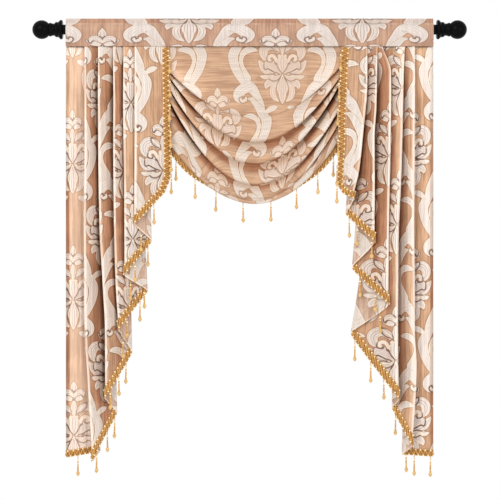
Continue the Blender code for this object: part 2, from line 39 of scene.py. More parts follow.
# Heading band. Its ripples run along it, and its puckers too: (size, length, shift).
BAND_HALF_WIDTH = 0.750
BAND_BOTTOM = -0.0695
BAND_TOP = 0.0450
BAND_RIPPLE = 0.0012
BAND_RIPPLE_LENGTH = 0.29
BAND_PUCKERS = ((0.0006, 0.031, 0.0), (0.0005, 0.047, 1.3), (0.0004, 0.083, 2.2))
BAND_COLUMNS = 330
# Front half of the band's section, from the seam up over the rod to the frill's fold: (depth, height)
BAND_SECTION = (
    (0.0090, -0.0695), (0.0150, -0.0450), (0.0205, -0.0200), (0.0222, -0.0040), (0.0215, 0.0080),
    (0.0165, 0.0165), (0.0085, 0.0220), (0.0024, 0.0255), (0.0018, 0.0320), (0.0018, 0.0430),
)
# The frill's stitching: its height, how far its puckers and the painted highlight along it fade, and how
# deep the puckers are elsewhere
STITCH_HEIGHT = 0.0220
STITCH_DRAW = 0.013
STITCH_WIDTH = 0.0035
FREE_PUCKER = 0.25

# Tails. The pleats are pressed together at the seam, and open over a drop below it.
SEAM_OPENING = 0.30
OPENING_DROP = 0.25
TURN_RADIUS_AT_SEAM = 0.0017
TURN_RADIUS = 0.0065
OUTER_EDGE = 0.750
OUTER_DEPTH = -0.010
EDGE_CURL = 0.010
# Where the stretches are measured for their flat width, as a share of the height they reach down to
FLAT_AT = 0.62
# Finer shape of the pleats. Waves are rows of a size, then the turn per unit of each way along the cloth.
SWAY_OUT = 0.0016
SWAY_DEPTH = 0.0022
SWAY_PHASE = (1.7, 0.9)
SWAY_WAVES = ((1.0, 5.1, 1.0), (0.6, 11.7, 2.3))
PANEL_WAVE = 0.0022
PANEL_WAVES = ((1.0, 7.0, 3.0, 1.0), (0.5, 15.0, -6.0, 0.0))
FINE_RIPPLE = 0.0008
RIPPLE_WAVES = ((1.0, 370.0, 2.0, 0.0), (1.0, 233.0, -3.4, 1.0))
TURN_STEPS = 5
FRONT_SPACING = 0.0042
BACK_SPACING = 0.0075
TAIL_ROWS = 190

# Each tail: its inner edge's way down and depth, and the first panel's cut as (share of the panel,
# height). Folds run from the inner edge outward, in turn to the front and to the back: depth at full
# opening, height of the low end, and way down as (height, distance out). Shades are painted shade: they
# say how dark each stretch that shows is painted beside the next; over 1, all of it is painted in shade.
# Gloss is the width of the painted highlight beside each front fold but the first, as a share of its
# stretch. Axis and medallion place the outermost medallions in from the outer edge and below the seam,
# pattern is the distance from that axis at each front fold, and lower is how much further down the other
# medallions hang. Tassels hang from the inner edge at heights, and from the cut at (stretch, share of the
# stretch).
LEFT_TAIL = SimpleNamespace(
    side=-1.0,
    inner=((-0.070, 0.329), (-0.288, 0.327), (-0.492, 0.322), (-0.600, 0.321)),
    inner_depth=((-0.070, -0.0075), (-0.300, -0.0160), (-0.600, -0.0190)),
    cut=((0.00, -0.600), (0.16, -0.664), (0.55, -0.724), (0.90, -0.777)),
    folds=(
        (-0.025, -0.794, ((-0.070, 0.469), (-0.786, 0.468))),
        (0.008, -0.864, ((-0.070, 0.432), (-0.400, 0.412), (-0.864, 0.401))),
        (-0.026, -1.004, ((-0.070, 0.515), (-0.688, 0.512), (-1.002, 0.509))),
        (0.018, -1.068, ((-0.070, 0.474), (-0.500, 0.446), (-1.068, 0.419))),
        (-0.025, -1.227, ((-0.070, 0.557), (-0.688, 0.553), (-1.064, 0.543), (-1.227, 0.533))),
        (0.015, -1.317, ((-0.070, 0.520), (-0.700, 0.498), (-1.317, 0.479))),
        (
            -0.027, -1.505,
            ((-0.070, 0.618), (-0.810, 0.612), (-1.031, 0.599), (-1.227, 0.588), (-1.505, 0.587)),
        ),
        (0.016, -1.566, ((-0.070, 0.580), (-0.900, 0.556), (-1.566, 0.542))),
        (-0.026, -1.762, ((-0.070, 0.673), (-1.100, 0.673), (-1.476, 0.658), (-1.750, 0.641))),
        (0.012, -1.726, ((-0.070, 0.640), (-0.900, 0.622), (-1.566, 0.608), (-1.726, 0.612))),
    ),
    outer_bottom=-1.746,
    shades=(0.30, -0.08, 1.15, 1.05, 1.10, -0.28),
    painted_gloss=(0.16, 0.16, 0.16, 0.16),
    axis=0.031,
    medallion=0.478,
    pattern=(0.948, 0.763, 0.485, 0.354, 0.1650),
    lower=0.029,
    edge_tassels=(-0.099, -0.197, -0.293, -0.402, -0.500, -0.590),
    cut_tassels=(
        (0, 0.48), (1, 0.40), (2, 0.08), (2, 0.62), (3, 0.25), (3, 0.92), (4, 0.22), (4, 0.70), (5, 0.30),
        (6, 0.20), (6, 0.50), (6, 0.84), (8, 0.04), (8, 0.36), (8, 0.84), (10, 0.64),
    ),
)
RIGHT_TAIL = SimpleNamespace(
    side=1.0,
    inner=(
        (-0.070, 0.376), (-0.170, 0.369), (-0.288, 0.3635), (-0.377, 0.3615), (-0.463, 0.3635),
        (-0.553, 0.3595), (-0.640, 0.3595),
    ),
    inner_depth=((-0.070, -0.0075), (-0.300, -0.0170), (-0.640, -0.0190)),
    cut=((0.00, -0.640), (0.40, -0.672)),
    folds=(
        (
            -0.023, -0.692,
            ((-0.070, 0.480), (-0.222, 0.480), (-0.451, 0.461), (-0.576, 0.446), (-0.663, 0.426)),
        ),
        (0.003, -0.751, ((-0.070, 0.446), (-0.400, 0.420), (-0.692, 0.397), (-0.751, 0.394))),
        (-0.025, -0.868, ((-0.070, 0.522), (-0.312, 0.516), (-0.450, 0.508), (-0.868, 0.508))),
        (0.018, -0.974, ((-0.070, 0.486), (-0.450, 0.462), (-0.974, 0.418))),
        (
            -0.027, -1.123,
            ((-0.070, 0.542), (-0.177, 0.576), (-0.490, 0.575), (-0.843, 0.566), (-1.123, 0.564)),
        ),
        (0.024, -1.241, ((-0.070, 0.512), (-0.500, 0.496), (-0.974, 0.456), (-1.241, 0.414))),
        (
            -0.025, -1.513,
            ((-0.070, 0.633), (-0.365, 0.623), (-0.617, 0.616), (-0.913, 0.605), (-1.415, 0.606)),
        ),
        (0.016, -1.546, ((-0.070, 0.596), (-0.900, 0.586), (-1.546, 0.584))),
        (
            -0.028, -1.701,
            ((-0.070, 0.674), (-0.760, 0.671), (-1.227, 0.671), (-1.370, 0.679), (-1.701, 0.661)),
        ),
        (0.014, -1.738, ((-0.070, 0.640), (-0.900, 0.636), (-1.738, 0.623))),
    ),
    outer_bottom=-1.742,
    shades=(0.24, 1.36, 1.32, 0.80, 0.72, -0.20),
    painted_gloss=(0.18, 0.24, 0.75, 0.60),
    axis=0.107,
    medallion=0.457,
    pattern=(0.865, 0.723, 0.528, 0.262, 0.102),
    lower=-0.008,
    edge_tassels=(-0.088, -0.206, -0.312, -0.436, -0.556, -0.628),
    cut_tassels=(
        (2, 0.06), (2, 0.40), (2, 0.94), (4, 0.20), (4, 0.66), (5, 0.22), (6, 0.06), (6, 0.42), (6, 0.70),
        (8, 0.10), (9, 0.70), (10, 0.36), (10, 0.90),
    ),
)
LOWER_FROM = 0.06
LOWER_OVER = 0.10
# How much wider than what shows the pattern stays true to size, and down to where on the outer stretch
PATTERN_SPARE = 0.004
PATTERN_LOW = -1.7

# Swag. Side values are where its folds pass behind the tails' inner edges.
SWAG_TOP = -0.0700
SWAG_MIDDLE = 0.0235
SWAG_HALF_WIDTH = 0.3685
SWAG_SEEN = 0.957
SWAG_COLUMNS = 190
SWAG_ROWS = 258
SAG_POWER = 2.0
BELLY_POWER = 2.2
# Each fold's lowest line: its height at the left, middle and right, its front depth in the middle, how
# strongly it is folded at the left, middle and right, how much further the pattern runs inside its
# crease at the sides, and how dark the painted shade in its crease is.
SWAG_FOLDS = (
    (-0.173, -0.353, -0.145, -0.022, 1.0, 0.10, 0.8, 0.020, 0.58),
    (-0.192, -0.451, -0.184, -0.030, 1.0, 1.0, 1.0, 0.060, 1.0),
    (-0.239, -0.541, -0.209, -0.036, 1.0, 1.0, 1.0, 0.060, 1.0),
    (-0.288, -0.627, -0.308, -0.039, 1.0, 1.0, 1.0, 0.060, 1.0),
    (-0.420, -0.686, -0.361, -0.037, 0.0, 0.3, 1.0, 0.030, 0.80),
)
FOLD_FADES = 0.8
SKIP_STARTS = 0.10
SKIP_OVER = 0.70
# The cloth is tucked in at the sides, and turned under in a loose wave towards the middle.
SIDE_FRONT = -0.0010
SIDE_BACK = 0.0130
SIDE_TURN = 0.0022
SIDE_HIDE = 0.026
WAVE_DEPTH = 0.015
WAVE_BELOW = 0.024
WAVE_STARTS = 0.30
WAVE_THICK = 0.010
# Just under a lip: depth and height, for a tuck in turns, and for a wave as shares of its depth and its
# drop. Then how far down a tuck's inside comes back, and how far back its lip lies, in turns.
UNDER_TUCK = (2.2, 1.6)
UNDER_WAVE = (0.5, 0.4)
TUCK_BACK = 1.5
LIP_FRONT = 0.6
# How dark the painted shade in a crease is in a wave, how much darker in a tuck, and how soon
CREASE_IN_WAVE = 0.68
CREASE_IN_TUCK = 0.32
CREASE_POWER = 0.7
# How much painted shade darkens the hollows between the creases at the side where the swag hangs slacker
SWAG_SLACK_SHADE = 0.30
SLACK_REACH = 0.7
# Rows of cloth from a crease to the next lip. Below the crease: share of the drop, distance down at the
# sides, how far forward, shades. On the face: bulge, share of the drop left, shades. Shades are painted
# shade, as shares of the crease's own, of that away from the sides, of the slack's, of the fold's
# strength and of its tuck; where they add up below 0 they are a painted highlight.
BELOW_CREASE = ((0.07, 0.007, 0.15, 1.0), (0.14, 0.014, 0.35, 0.92), (0.32, 0.030, 0.70, 0.50, 0.34, 1.0))
ON_FACE = ((0.0015, 0.48, 0.04, 0.30, 0.6, 0.0, -0.14), (0.0020, 0.20, 0.0, 0.0, 0.0, -0.12, -0.18))
LIP_SHADES = (0.0, 0.0, 0.0, -0.12, -0.24)
# Rows from the last crease to the hem: how far forward, share of the drop left, share of the crease's
# painted shade, added painted shade. Then round the hem's roll: share of the roll, height, painted shade.
SWAG_HEM = (-0.463, -0.712, -0.435)
SWAG_HEM_DEPTH = -0.030
HEM_ROLL = 0.0130
TO_HEM = ((0.2, 0.90, 0.80, 0.0), (0.7, 0.60, 0.25, 0.0), (1.0, 0.30, 0.0, -0.12))
ROUND_HEM = ((0.1, 0.001, 0.15), (0.5, -0.001, 0.0), (0.8, 0.003, 0.0), (1.0, 0.012, 0.0))
# How much the mesh's rows follow even distances down the cloth, and how much the rows of its shape
KEY_SHARES = (0.7, 0.3)

# Braid. The tape's section is in shares of its width, and lifts.
BRAID_WIDTH = 0.027
BRAID_TOP_GAP = 0.003
CUT_STEP = 0.0025
CUT_SPARE = 0.002
SLANT_STEP = 0.006
GIMP_TAPE = (
    (0.0, 0.0003), (0.0, 0.0012), (0.2, 0.0018), (0.5, 0.0020), (0.8, 0.0018), (1.0, 0.0012), (1.0, 0.0003),
    (0.5, 0.0002),
)
GIMP_STEP = 0.004
EDGE_CORD_RADIUS = 0.0017
EDGE_CORD_INSET = 0.0012
EDGE_CORD_LIFT = 0.0022
GIMP_CORD_RADIUS = 0.0024
GIMP_CORD_LIFT = 0.0040
GIMP_SWING = 0.0085
GIMP_WAVE = 0.0205
KNOT_RADIUS = 0.0040
KNOT_INSET = 0.0030
KNOT_LIFT = 0.0040
LOOP_RADIUS = 0.0026
BEAD_TALL = 0.9
# The swag's braid hangs behind its hem. Its middle's height over the hem at the left, middle and right,
# where that starts to change, and over how much.
SWAG_BRAID_GAP = 0.0012
SWAG_BRAID_DEPTH = 0.0030
SWAG_BRAID_RISE = (-0.013, 0.0145, -0.012)
RISE_FROM = 0.45
RISE_OVER = 0.4
# Tassels. Those of the swag hang at distances across it. Each leaves the braid at (inset, lift), and
# hangs clear of any cloth within its room either way and its span below.
SWAG_TASSELS = (-0.301, -0.223, -0.137, -0.027, 0.087, 0.192, 0.278, 0.343)
TASSEL_CLEARANCE = 0.0125
TASSEL_ROOM = 0.010
TASSEL_SPAN = (0.010, 0.082)
TASSEL_OUT = 0.0035
TASSEL_FORWARD = 1.6
TAIL_TASSEL_SPOT = (0.0, 0.0024)
SWAG_TASSEL_SPOT = (0.001, 0.0016)
TASSEL_LEAN = 0.0012
TASSEL_LEAN_TURN = 2.4
TASSEL_LEAN_DROP = 0.08
TASSEL_CORD_RADIUS = 0.0015
TASSEL_KNOT = (0.0190, 0.0042)
# From the top down, the bundle of threads, its beads and the fat bead at its end: (drop, radius)
TASSEL_BUNDLE = (
    (0.022, 0.0018), (0.026, 0.0033), (0.030, 0.0028), (0.040, 0.0029), (0.050, 0.0032), (0.060, 0.0035),
    (0.066, 0.0040),
)
TASSEL_BEADS = ((0.031, 0.0034), (0.043, 0.0030), (0.055, 0.0034))
TASSEL_BEAD_TALL = 0.7
TASSEL_END = (
    (0.064, 0.0020), (0.0665, 0.0052), (0.071, 0.0075), (0.076, 0.0071), (0.080, 0.0050), (0.083, 0.0024),
    (0.0845, 0.0004),
)

# Finial. Its neck is (distance out from the rod's end, radius) rows from its collar outward, and its
# collar (radius, distance out) rows down to the socket.
FINIAL_GAP = 0.0003
FINIAL_SIDES = 72
FINIAL_NECK = (
    (0.0150, 0.0360), (0.0175, 0.0396), (0.0245, 0.0396), (0.0285, 0.0350), (0.0330, 0.0300),
    (0.0365, 0.0312), (0.0415, 0.0312), (0.0450, 0.0290), (0.0480, 0.0252), (0.0530, 0.0245),
    (0.0580, 0.0252), (0.0620, 0.0276), (0.0670, 0.0282), (0.0705, 0.0262),
)
FINIAL_BALL_RADIUS = 0.0386
FINIAL_BALL_CENTRE = 0.1004
FINIAL_BALL_STEPS = 9
FINIAL_BALL_TURN = math.radians(140.0)
FINIAL_TIP_RADIUS = 1e-5
FINIAL_COLLAR = ((0.0204, 0.0150), (0.0204, 0.0), (FINIAL_TIP_RADIUS, 0.0))
FINIAL_SHARP = math.radians(45.0)

# Damask repeat in millimetres. Every other column of medallions is dropped by half the repeat. Distances
# to a motif count up to its reach, and no stroke is thinner than the least half width.
REPEAT_HALF = 264.5
REPEAT_LONG = 555.0
CELL_STEP = 1.1
MOTIF_FAR = 15.0
MOTIF_REACH = 14.0
MOTIF_THIN = 0.2
# Where the medallions fall on the swag and the heading
SWAG_AXIS = 0.1336
SWAG_MEDALLION = 0.1145
HEADING_AXIS = -0.2470
# The heading's pattern is stretched across and drawn together down it: how much larger each way.
HEADING_LARGER = (1.335, 0.91)

# The damask's strokes in millimetres, from where the medallion's petals meet: (across, down, half
# width) rows, then how many ribs run along the stroke. Each layer lies on the one before it.
MOTIF_KEYS = ("scroll", "petal_a", "petal_b", "petal_c")
MOTIFS = {
    "scroll": (
        (
            (
                (124, -176, 3), (141, -172, 9), (157, -154, 13), (173, -130, 16), (188, -106, 19),
                (200, -82, 21), (198, -48, 19), (187, -13, 17), (168, 17, 17), (145, 38, 20),
                (122, 62, 20), (104, 88, 15), (87, 112, 9), (77, 134, 5), (73, 150, 1),
            ),
            5,
        ),
        (
            (
                (100, -97, 2), (119, -102, 10), (139, -101, 14), (157, -90, 12), (166, -72, 9),
                (168, -52, 8), (163, -30, 8), (151, -6, 10), (141, 18, 14),
            ),
            3,
        ),
        (((138, 52, 22), (160, 62, 22), (178, 80, 22), (180, 98, 17), (168, 109, 13), (158, 108, 11)), 4),
        (((196, -118, 5), (212, -131, 11), (228, -138, 11), (240, -142, 5)), 2),
    ),
    "petal_a": (
        (((148, 96, 3), (152, 107, 8), (163, 112, 8), (170, 103, 6), (164, 96, 3)), 1),
        (((18, -88, 3), (34, -111, 13), (57, -118, 19), (76, -102, 19), (75, -77, 15), (62, -55, 4)), 4),
        (((24, -4, 9), (50, -9, 17), (72, -22, 17), (87, -41, 10), (97, -58, 2)), 4),
        (((8, 16, 5), (29, 28, 14), (49, 33, 16), (63, 45, 11), (67, 61, 2)), 4),
        (((25, 42, 6), (38, 58, 11), (39, 79, 12), (31, 98, 10), (16, 112, 3)), 2),
        (((4, -146, 5), (20, -153, 11), (36, -161, 10), (48, -169, 3)), 1),
    ),
    "petal_b": (
        (((0, -222, 1), (0, -208, 9), (0, -194, 13), (0, -180, 9), (0, -165, 1)), 2),
        (((9, -94, 3), (22, -106, 11), (36, -119, 11), (48, -132, 2)), 2),
        (((5, -4, 4), (25, -22, 16), (44, -37, 20), (61, -38, 14), (68, -24, 6)), 6),
        (((34, 5, 4), (56, 11, 9), (74, 13, 9), (91, 8, 2)), 2),
        (((5, 5, 3), (20, 15, 8), (38, 19, 10), (55, 14, 4)), 3),
    ),
    "petal_c": (
        (((2, -162, 6), (13, -175, 11), (28, -177, 11), (38, -165, 6), (36, -156, 2)), 2),
        (((0, -146, 3), (0, -126, 10), (0, -108, 11), (0, -92, 7), (0, -79, 1)), 2),
        (((0, -74, 6), (0, -62, 17), (0, -46, 23), (0, -26, 15), (0, -3, 1)), 4),
        (((12, -77, 6), (13, -74, 6)), 0),
        (((27, -44, 3), (27, -61, 6), (38, -76, 7), (52, -73, 7), (56, -59, 7), (46, -54, 5)), 1),
        (((0, 4, 3), (0, 22, 11), (0, 44, 20), (0, 60, 23), (0, 70, 19), (0, 78, 16)), 5),
        (((0, 76, 16), (0, 92, 14), (0, 110, 8), (0, 124, 1)), 3),
    ),
}

# Each cloth's look: the slubs and ridges stretched along the thread that shows, the ground and the
# satin motifs from dark to light with their furrows, the petals' own tint and its share, outlines with
# their strength (their colour also paints a motif's shadow on the one below), pale rims, and the tints
# of the painted shade on ground and motif half way into a fold and deep in it.
THREADS_DOWN = {"slubs": (230.0, 9.0, 1.0), "ridges": (58.0, 2.2, 1.0)}
THREADS_ACROSS = {"slubs": (9.0, 230.0, 1.0), "ridges": (3.6, 52.0, 1.0)}
TAIL_LOOK = {
    **THREADS_DOWN,
    "ground": ((0.375, 0.210, 0.116), (0.575, 0.345, 0.204)),
    "motif": ((0.59, 0.510, 0.460), (0.73, 0.650, 0.600), (0.49, 0.385, 0.310)),
    "petal": ((0.64, 0.540, 0.480), 0.35),
    "outline": ((0.13, 0.050, 0.028), 0.95),
    "rim": (0.76, 0.640, 0.50),
    "shade": ((0.74, 0.57, 0.51), (0.15, 0.070, 0.055), (0.90, 0.82, 0.76), (0.30, 0.21, 0.17)),
}
SWAG_LOOK = {
    **THREADS_ACROSS,
    "ground": ((0.355, 0.194, 0.110), (0.525, 0.320, 0.194)),
    "motif": ((0.54, 0.450, 0.385), (0.66, 0.570, 0.495), (0.46, 0.345, 0.270)),
    "petal": ((0.585, 0.435, 0.345), 0.80),
    "outline": ((0.25, 0.125, 0.068), 0.72),
    "rim": (0.68, 0.520, 0.385),
    "shade": ((0.62, 0.43, 0.34), (0.035, 0.012, 0.008), (0.84, 0.73, 0.64), (0.05, 0.025, 0.018)),
}
HEADING_LOOK = {
    **THREADS_DOWN,
    "ground": ((0.355, 0.200, 0.127), (0.520, 0.318, 0.211)),
    "motif": ((0.55, 0.475, 0.430), (0.68, 0.605, 0.560), (0.47, 0.370, 0.310)),
    "petal": ((0.60, 0.500, 0.440), 0.35),
    "outline": ((0.13, 0.055, 0.035), 0.85),
    "rim": (0.72, 0.600, 0.50),
    "shade": ((0.78, 0.66, 0.61), (0.22, 0.13, 0.10), (0.86, 0.80, 0.77), (0.38, 0.31, 0.28)),
}
REVERSE_LOOK = {
    **THREADS_DOWN,
    "ground": ((0.40, 0.255, 0.175), (0.62, 0.450, 0.345)),
    "motif": ((0.62, 0.545, 0.490), (0.74, 0.675, 0.625), (0.52, 0.420, 0.350)),
    "petal": ((0.66, 0.580, 0.520), 0.35),
    "outline": ((0.26, 0.130, 0.085), 0.60),
    "rim": (0.78, 0.680, 0.57),
    "shade": ((0.92, 0.88, 0.86), (0.80, 0.72, 0.68), (0.94, 0.91, 0.89), (0.84, 0.78, 0.75)),
}
# The weave's noises, as (scale, detail, roughness), and the ramps they pass through, as (from, to) and
# what they give there
SLUB_NOISE = (1.0, 5.0, 0.62)
SLUB_RAMP = (0.36, 0.64)
CLOUD_NOISE = (11.0, 2.0, 0.5)
CLOUD_RAMP = (0.35, 0.65, -0.26, 0.26)
STREAK_NOISE = (1.0, 2.0, 0.5)
RIDGE_RAMP = (0.32, 0.68, -0.36, 0.36)
WEAVE_NOISE = (900.0, 1.0, 0.5)
# How far the ridges show in the satin, and the furrows between its ribs in the satin and the petals
SATIN_RIDGES = 0.5
FURROW_RAMP = (-0.35, -0.95)
SATIN_FURROW = 0.42
PETAL_FURROW = 0.45
# Distances from a motif's edge. Lines along it: how far out their middle is, the distances from that
# where they start and are full, and their strength. An overlap's line has its middle on the edge.
FILL_RAMP = (0.0008, -0.0008)
EDGE_LINE = (0.0016, (0.0026, 0.0008), 0.40)
RIM_LINE = (-0.0030, (0.0034, 0.0012), 0.60)
OVERLAP_LINE = (0.0038, 0.0013)
# The painted shadow of a motif on the one below it: where it starts and is full, its inner end, and its
# strength
UNDER_RAMP = (0.0085, 0.0)
UNDER_END = (-0.001, 0.0)
UNDER_SHARE = 0.30
# Painted light on the cloth: the tone and strength of the painted highlight on its crests, their broken
# streaks, how much paler a painted lift can make it where it faces the room squarely, and the tone that
# its brightest stretch is painted towards as a painted wash of light
PAINTED_CREST_HIGHLIGHT = (0.84, 0.73, 0.64)
CREST_PALENESS = 0.80
CREST_WAY = (14.0, 3.2, 1.0)
CREST_RAMP = (-0.45, -0.95)
CATCH_RAMP = (0.36, 0.62, 0.30, 1.0)
PAINTED_LIFT_LIMIT = 0.32
PAINTED_LIGHT_WASH = (0.62, 0.46, 0.36)
PAINTED_WASH_RAMP = (-0.20, -0.28, 0.0, 0.34)
# Finish: roughness and how much less on the motifs, where the painted shade dulls the sheen, and the
# weave's relief from the motifs, the slubs, the furrows and the threads
ROUGHNESS = 0.62
SATIN_SMOOTHER = 0.20
DULL_RAMP = (0.95, 0.1)
SPECULAR = 0.5
SHEEN = 0.35
SHEEN_ROUGHNESS = 0.35
RELIEF = (0.9, 0.9, 0.5, 0.4)
RELIEF_DEPTH = 0.0010

# Painted shade and highlight on the tails' cloth. The folded-back stretches have a painted shade of their
# own, and are painted paler along the hem at their cut with the crests' painted highlight.
REVERSE_SHADE = 0.45
HEM_BAND = 0.007
HEM_STARTS = 0.4
# How much less the painted shade is where nothing covers a stretch any more, and deep under its cover
UNCOVERED_LIFT = 0.50
UNCOVERED_OVER = 0.03
COVERED_LIFT = 0.50
COVERED_FROM = 0.06
COVERED_OVER = 0.30
# The painted highlight on a glossy part: its value and its share, and how far round a front fold the
# painted crest highlight goes
PAINTED_GLOSS_VALUE = -0.55
PAINTED_GLOSS_SHARE = 0.75
CREST_REACH = 0.62
# The outer selvedge's width, its edge and painted shade, and how that painted shade comes to show:
# (share, from height, over)
SELVEDGE = 0.015
SELVEDGE_EDGE = 0.003
SELVEDGE_SHADE = 0.60
SELVEDGE_SHOWS = ((0.4, -0.10, 0.08), (0.6, -0.40, 0.30))
# Painted crest highlights and painted shades are weaker at the seam, over a drop.
SHADE_DROP = 0.10
CREST_AT_SEAM = 0.45
SHADE_AT_SEAM = 0.60
# The heading's painted shade tints: an even darkening in the open, painted shade over the frill and at
# the seam, and a painted highlight along the stitching with its puckers
HEADING_SHADE = 0.13
FRILL_SHADE = 0.18
FRILL_OVER = 0.006
SEAM_SHADE = 0.16
SEAM_REACH = (0.005, 0.004)
STITCH_PAINTED_HIGHLIGHT = (0.10, 0.35)
STITCH_PUCKERS = (67.0, 23.0)

# Threads: name, dark and light tones, roughness and how fine the twist is. Their tone is painted darker
# where the twist's bump is low, as painted shade between the turns.
THREADS = (
    ("braid_tape", (0.22, 0.088, 0.016), (0.50, 0.225, 0.048), 0.65, 500.0),
    ("gold_cord", (0.34, 0.145, 0.020), (0.76, 0.41, 0.10), 0.40, 700.0),
    ("pale_bead", (0.86, 0.60, 0.26), (1.0, 0.90, 0.62), 0.28, 500.0),
    ("amber_drop", (0.45, 0.23, 0.045), (0.82, 0.55, 0.20), 0.35, 500.0),
)
TAPE, CORD, PALE_BEAD, AMBER_DROP = range(4)

# Camera and studio. Lights: name, place, target, size, power, colour
CAMERA_DISTANCE = 7.0
CAMERA_SPAN = 2.0425
CAMERA_CENTRE = (0.0016, -0.9002)
SENSOR = 36.0
FLOOR = ((-4.0, -3.2, -2.35), (4.0, -3.2, -2.35), (4.0, 1.6, -2.35), (-4.0, 1.6, -2.35))
WORLD_LIGHT = 1.0
LIGHTS = (
    ("key", (-2.2, -4.2, 1.6), (0.0, 0.0, -0.8), (2.2, 2.2), 95.0, (1.0, 0.98, 0.95)),
    ("fill", (2.8, -3.8, -0.2), (0.0, 0.0, -0.9), (2.4, 2.4), 35.0, (0.96, 0.98, 1.0)),
)


def smooth_step(value):
    value = np.clip(value, 0.0, 1.0)
    return value * value * (3.0 - 2.0 * value)


def blend(start, end, part):
    return start + (end - start) * part


def mixed(shares, parts):
    """The sum of the parts, each by its share. Parts beyond the last share are left out."""
    return sum(share * part for share, part in zip(shares, parts))


def waves(rows, *ways):
    """A sum of sine waves. Each row is a wave's size, then its turn per unit of each way."""
    return sum(size * np.sin(mixed(rates, ways)) for size, *rates in rows)


def joined(*parts):
    """Parts side by side along a new last axis, each spread to the shape of them all."""
    return np.stack(np.broadcast_arrays(*parts), axis=-1)


def unit(vectors, least=0.0):
    """The vectors with a length of one. Those shorter than the least stay short."""
    return vectors / np.maximum(np.linalg.norm(vectors, axis=-1, keepdims=True), least)


def running(steps):
    """The running total of steps along their last axis, starting from 0."""
    start = np.zeros((*steps.shape[:-1], 1))
    return np.concatenate([start, np.cumsum(steps, axis=-1)], axis=-1)


def arc_length(points):
    """Distance along each line of points."""
    return running(np.linalg.norm(np.diff(points, axis=-2), axis=-1))


def locate(knots, at):
    """Which gap between knots each place is in, and how far along that gap."""
    piece = np.clip(np.searchsorted(knots, at, side="right") - 1, 0, len(knots) - 2)
    return piece, (at - knots[piece]) / (knots[piece + 1] - knots[piece])


def curve_through(rows, at):
    """A smooth curve through (position, value) rows that never overshoots them."""
    place, value = np.array(sorted(rows)).T
    gap = np.diff(place)
    slope = np.diff(value) / gap
    product = slope[:-1] * slope[1:]
    total = np.where(product > 0.0, slope[:-1] + slope[1:], 1.0)
    inner = np.where(product > 0.0, 2.0 * product / total, 0.0)
    tangent = np.concatenate([slope[:1], inner, slope[-1:]])
    piece, t = locate(place, np.clip(at, place[0], place[-1]))
    start = value[piece] + tangent[piece] * gap[piece] * t * (1.0 - t) ** 2
    rise = (value[piece + 1] - value[piece]) * t * t * (3.0 - 2.0 * t)
    return start + rise - tangent[piece + 1] * gap[piece] * t * t * (1.0 - t)


def smooth_line(knots, steps=7):
    """Points along a smooth curve through knots of (x, y, half width)."""
    knots = np.asarray(knots, float)
    if len(knots) == 2:
        return knots
    ends = np.concatenate([[2.0 * knots[0] - knots[1]], knots, [2.0 * knots[-1] - knots[-2]]])
    line = []
    for before, start, end, after in zip(ends, ends[1:], ends[2:], ends[3:]):
        for t in np.arange(steps) / steps:
            pull = (end - before) * t + (2.0 * before - 5.0 * start + 4.0 * end - after) * t**2
            line.append(start + 0.5 * (pull + (3.0 * (start - end) + after - before) * t**3))
    line.append(knots[-1])
    return np.array(line)


def stroke_distance(line, x, y):
    """Distance from points to the edge of a stroke, and how far across it they lie, from -1 to 1."""
    best = np.full(x.shape, 1e3)
    across = np.zeros(x.shape)
    for start, end in zip(line, line[1:]):
        run = end[:2] - start[:2]
        length = max(float(np.hypot(*run)), 1e-6)
        t = np.clip(((x - start[0]) * run[0] + (y - start[1]) * run[1]) / length**2, 0.0, 1.0)
        width = np.maximum(blend(start[2], end[2], t), MOTIF_THIN)
        off_x = x - start[0] - run[0] * t
        off_y = y - start[1] - run[1] * t
        distance = np.hypot(off_x, off_y) - width
        side = (off_x * run[1] - off_y * run[0]) / length / width
        nearer = distance < best
        best = np.where(nearer, distance, best)
        across = np.where(nearer, side, across)
    return best, across


def copies(line):
    """A stroke and its mirror image, in every medallion that reaches the cell."""
    for mirror in (1.0, -1.0):
        for side in range(-1, 3):
            for drop in range(-2, 2):
                shift = (side * REPEAT_HALF, side * REPEAT_LONG / 2.0 + drop * REPEAT_LONG, 0.0)
                yield line * (mirror, 1.0, 1.0) + shift


def damask_cell():
    """Distances to the motifs over one cell of the repeat, for each layer, and the veins within them."""
    x = np.arange(0.0, REPEAT_HALF + CELL_STEP, CELL_STEP)
    y = np.arange(0.0, REPEAT_LONG + CELL_STEP, CELL_STEP)
    layers = {key: np.full((len(x), len(y)), MOTIF_FAR) for key in MOTIF_KEYS}
    vein = np.zeros((len(x), len(y)))
    strokes = [(key, knots, ribs) for key in MOTIF_KEYS for knots, ribs in MOTIFS[key]]
    for key, knots, ribs in strokes:
        for stroke in copies(smooth_line(knots)):
            reach = stroke[:, 2].max() + MOTIF_REACH
            low = np.maximum((stroke[:, :2].min(axis=0) - reach) / CELL_STEP, 0).astype(int)
            high = ((stroke[:, :2].max(axis=0) + reach) / CELL_STEP).astype(int) + 1
            window = np.s_[low[0] : max(high[0], 0), low[1] : max(high[1], 0)]
            if not vein[window].size:
                continue
            near_x, near_y = np.meshgrid(x[window[0]], y[window[1]], indexing="ij")
            distance, across = stroke_distance(stroke, near_x, near_y)
            layers[key][window] = np.minimum(layers[key][window], distance)
            if ribs:
                vein[window] = np.where(distance < 0.0, across * ribs, vein[window])
    layers["vein"] = vein
    return layers


